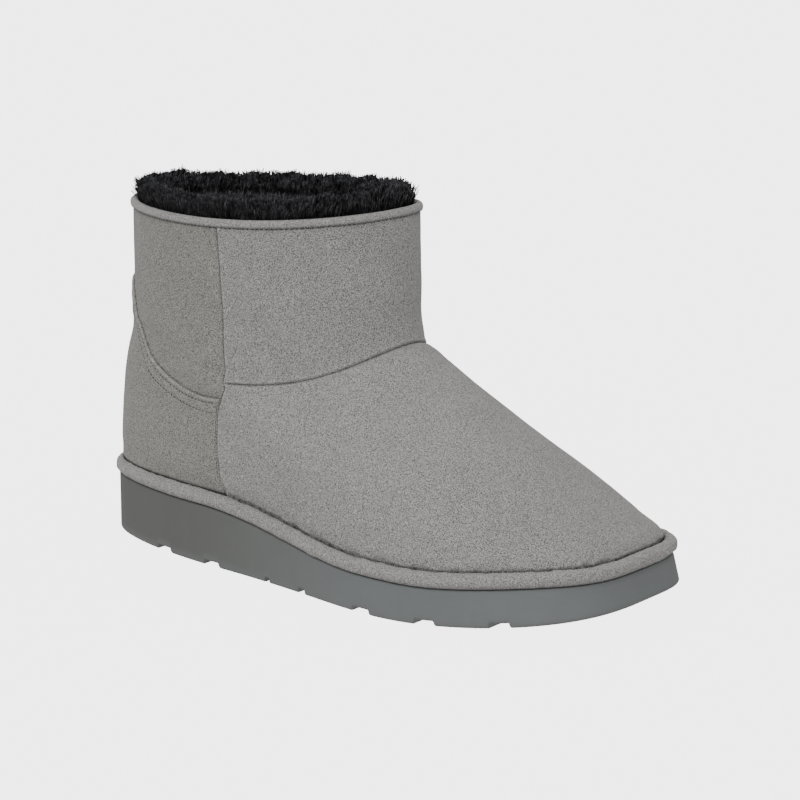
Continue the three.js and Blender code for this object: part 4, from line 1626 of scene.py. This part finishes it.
        some = tree.add("FunctionNodeRandomValue", {"data_type": "FLOAT"}, s2=0.55, s3=1.15,
                        Seed=start["Seed"]).outputs[1]
        tuft = tree.add("ShaderNodeTexNoise", Vector=place, Scale=120.0, Detail=2.0).outputs["Fac"]
        tuft = tree.add("ShaderNodeMapRange", Value=tuft, From_Min=NOISE_LOW, From_Max=NOISE_HIGH,
                        To_Min=0.6, To_Max=1.1).outputs[0]
        tall = tree.add("ShaderNodeMath", {"operation": "MULTIPLY"}, s0=some, s1=start["Length"]).outputs[0]
        tall = tree.add("ShaderNodeMath", {"operation": "MULTIPLY"}, s0=tall, s1=tuft).outputs[0]
        size = tree.add("ShaderNodeCombineXYZ", X=tall, Y=tall, Z=tall).outputs[0]
        placed = tree.add("GeometryNodeInstanceOnPoints", Points=spread["Points"], Instance=hair,
                          Rotation=turn, Scale=size).outputs[0]
        # Each strand's tip paleness, scaled by its band's painted light and shade.
        shade = tree.add("FunctionNodeRandomValue", {"data_type": "FLOAT"}, s2=0.0, s3=1.3,
                         Seed=start["Seed"]).outputs[1]
        shade = tree.add("ShaderNodeMath", {"operation": "POWER"}, s0=shade, s1=3.0).outputs[0]
        shade = tree.add("ShaderNodeMath", {"operation": "MULTIPLY"}, s0=shade, s1=start["Tip_Paleness_And_Painted_Light"]).outputs[0]
        held = tree.add("GeometryNodeStoreNamedAttribute", {"data_type": "FLOAT", "domain": "INSTANCE"},
                        Geometry=placed, Name="own", Value=shade).outputs[0]
        real = tree.add("GeometryNodeRealizeInstances", Geometry=held).outputs[0]
        tip = tree.add("GeometryNodeInputNamedAttribute", {"data_type": "FLOAT"}, Name="tip").outputs[0]
        each = tree.add("GeometryNodeInputNamedAttribute", {"data_type": "FLOAT"}, Name="own").outputs[0]
        tone = tree.add("ShaderNodeMath", {"operation": "MULTIPLY"}, s0=tip, s1=each).outputs[0]
        toned = tree.add("GeometryNodeStoreNamedAttribute", {"data_type": "FLOAT", "domain": "POINT"},
                         Geometry=real, Name="tone", Value=tone).outputs[0]
        area = sum(face.area for face in patch.data.polygons)
        reach = self.strand_mm * band.length
        values = {"Density": self.count / area, "Length": reach * MM, "Lean": band.lean, "Tip_Paleness_And_Painted_Light": band.tip_paleness_and_painted_light,
                  "Thickness": self.strand_thick / 2 / reach, "Seed": band.seed}
        return group.run(patch, band.name, toned, Finish.FUR, values)


@dataclass
class Insole:
    """A soft board covered with short fleece, on the sole inside the upper."""

    inward: float = 7.0
    levels: tuple[tuple[float, float], ...] = (
        (0.6, 0.3), (0.0, 0.9), (0.0, 2.2), (0.25, 3.2), (0.8, 3.9), (1.8, 4.25), (4.0, 4.35),
        (10.0, 4.4), (18.0, 4.3),
    )  # inward from its own edge and up from the sole's top, in mm
    unevenness: tuple[Wave, ...] = (Wave(0.18, 12.0, 71),)
    tone: float = 0.6

    def build(self) -> bpy.types.Object:
        """Build the insole.

        Returns:
            The insole.
        """
        place, side = FORM.columns(50, 80)
        angle = FORM.column_angles(place, side, FORM.sole_sizes.heel_height)
        rings = []
        for inward, up in self.levels:
            x, y = FORM.sole(angle, self.inward + inward, 1.0)
            rings.append(np.stack([x, y, FORM.top(x) + up], -1))
        points = np.array(rings)
        points[4:, :, 2] += layered(points[4:], self.unevenness)
        faces = stack_faces(len(self.levels), len(angle))
        piece = Sheet(points, faces, {"tone": np.full(points.shape[:2], self.tone)}).build("insole_fleece")
        dress(piece, "insole", "insole", Finish.FLEECE)
        return piece


# The studio

class Lamp(NamedTuple):
    """A large lamp: its angles in degrees, power and softness."""

    name: str
    azimuth: float
    elevation: float
    power: float
    soft: float


@dataclass
class Studio:
    """A pale floor, soft light from all round, and the camera at the photograph's angle."""

    azimuth: float = 38.663
    elevation: float = 12.998
    distance_mm: float = 1199.998
    aim_mm: tuple[float, float, float] = (0.0, 0.0, 80.0)
    pan: float = -0.585
    tilt: float = 0.141
    lens_mm: float = 121.0
    cove: tuple[tuple[float, float], ...] = (
        (8.0, 0.0), (9.5, 0.12), (10.8, 0.5), (11.9, 1.2), (12.7, 2.2), (13.1, 3.5), (13.2, 5.0),
        (13.2, 20.0),
    )  # radius and height in metres
    cove_sides: int = 64
    glow: float = 4.1
    sky: float = 0.6
    lamps: tuple[Lamp, ...] = (Lamp("key", 18.0, 32.0, 1.1, 50.0), Lamp("top", -60.0, 72.0, 0.5, 80.0))

    def build(self) -> None:
        """Build the floor, the lights and the camera."""
        self.floor()
        self.lights()
        self.camera()

    def floor(self) -> None:
        """Lay a wide pale floor that sweeps up into a wall all round."""
        mesh = bpy.data.meshes.new("floor")
        turns = np.arange(self.cove_sides) * 2 * math.pi / self.cove_sides
        rings = [np.stack([radius * np.cos(turns), radius * np.sin(turns), np.full(len(turns), height)], -1)
                 for radius, height in self.cove]
        count = len(turns)
        faces = [quad.tolist() for quad in ring_faces(len(rings), count, False)]
        mesh.from_pydata(np.concatenate(rings).tolist(), [], [list(range(count)), *faces])
        floor = place_object("floor", mesh)
        mesh.materials.append(Surface("pale_studio_floor").finish(
            Base_Color=linear("#8c8c8c"), Roughness=1.0, Specular_IOR_Level=0.0,
            Emission_Color=linear("#ffffff"), Emission_Strength=self.glow))
        floor.visible_diffuse = False  # the glow is for the eye and leaves the boot's light alone
        floor.visible_glossy = False
        floor.visible_shadow = False

    def lights(self) -> None:
        """Set an even pale sky and two large soft lamps."""
        world = bpy.data.worlds.new("studio_sky")
        bpy.context.scene.world = world
        world.use_nodes = True
        sky = world.node_tree.nodes["Background"]
        Tree(world.node_tree).fill(sky, {"Color": linear("#ffffff"), "Strength": self.sky})
        for row in self.lamps:
            lamp = bpy.data.lights.new(row.name, "SUN")
            lamp.energy = row.power
            lamp.angle = math.radians(row.soft)
            holder = place_object(row.name, lamp)
            place = Vector(direction(row.azimuth, row.elevation))
            holder.location = place * 2
            holder.rotation_euler = (-place).to_track_quat("-Z", "Y").to_euler()

    def camera(self) -> None:
        """Set the camera."""
        away = direction(self.azimuth, self.elevation)
        place = (np.array(self.aim_mm) + self.distance_mm * away + SHIFT) * MM
        back = Vector(direction(self.azimuth + self.pan, self.elevation + self.tilt))
        right = Vector((-back.y, back.x, 0.0)).normalized()
        up = back.cross(right)
        camera = bpy.data.cameras.new("camera")
        camera.sensor_width = 36.0
        camera.lens = self.lens_mm
        camera.clip_end = 100.0
        holder = place_object("camera", camera)
        turn = Matrix((right, up, back)).transposed().to_4x4()
        holder.matrix_world = Matrix.Translation(Vector(place)) @ turn
        bpy.context.scene.camera = holder


def main() -> None:
    """Build the boot and the studio."""
    logging.basicConfig(level=logging.INFO, format="%(name)s: %(message)s")
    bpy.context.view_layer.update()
    Studio().build()
    for part in (Outsole(), Welt(), Upper(), HeelCounter(), CollarBinding(), FurLining(), Insole()):
        part.build()


if __name__ == "__main__":
    main()
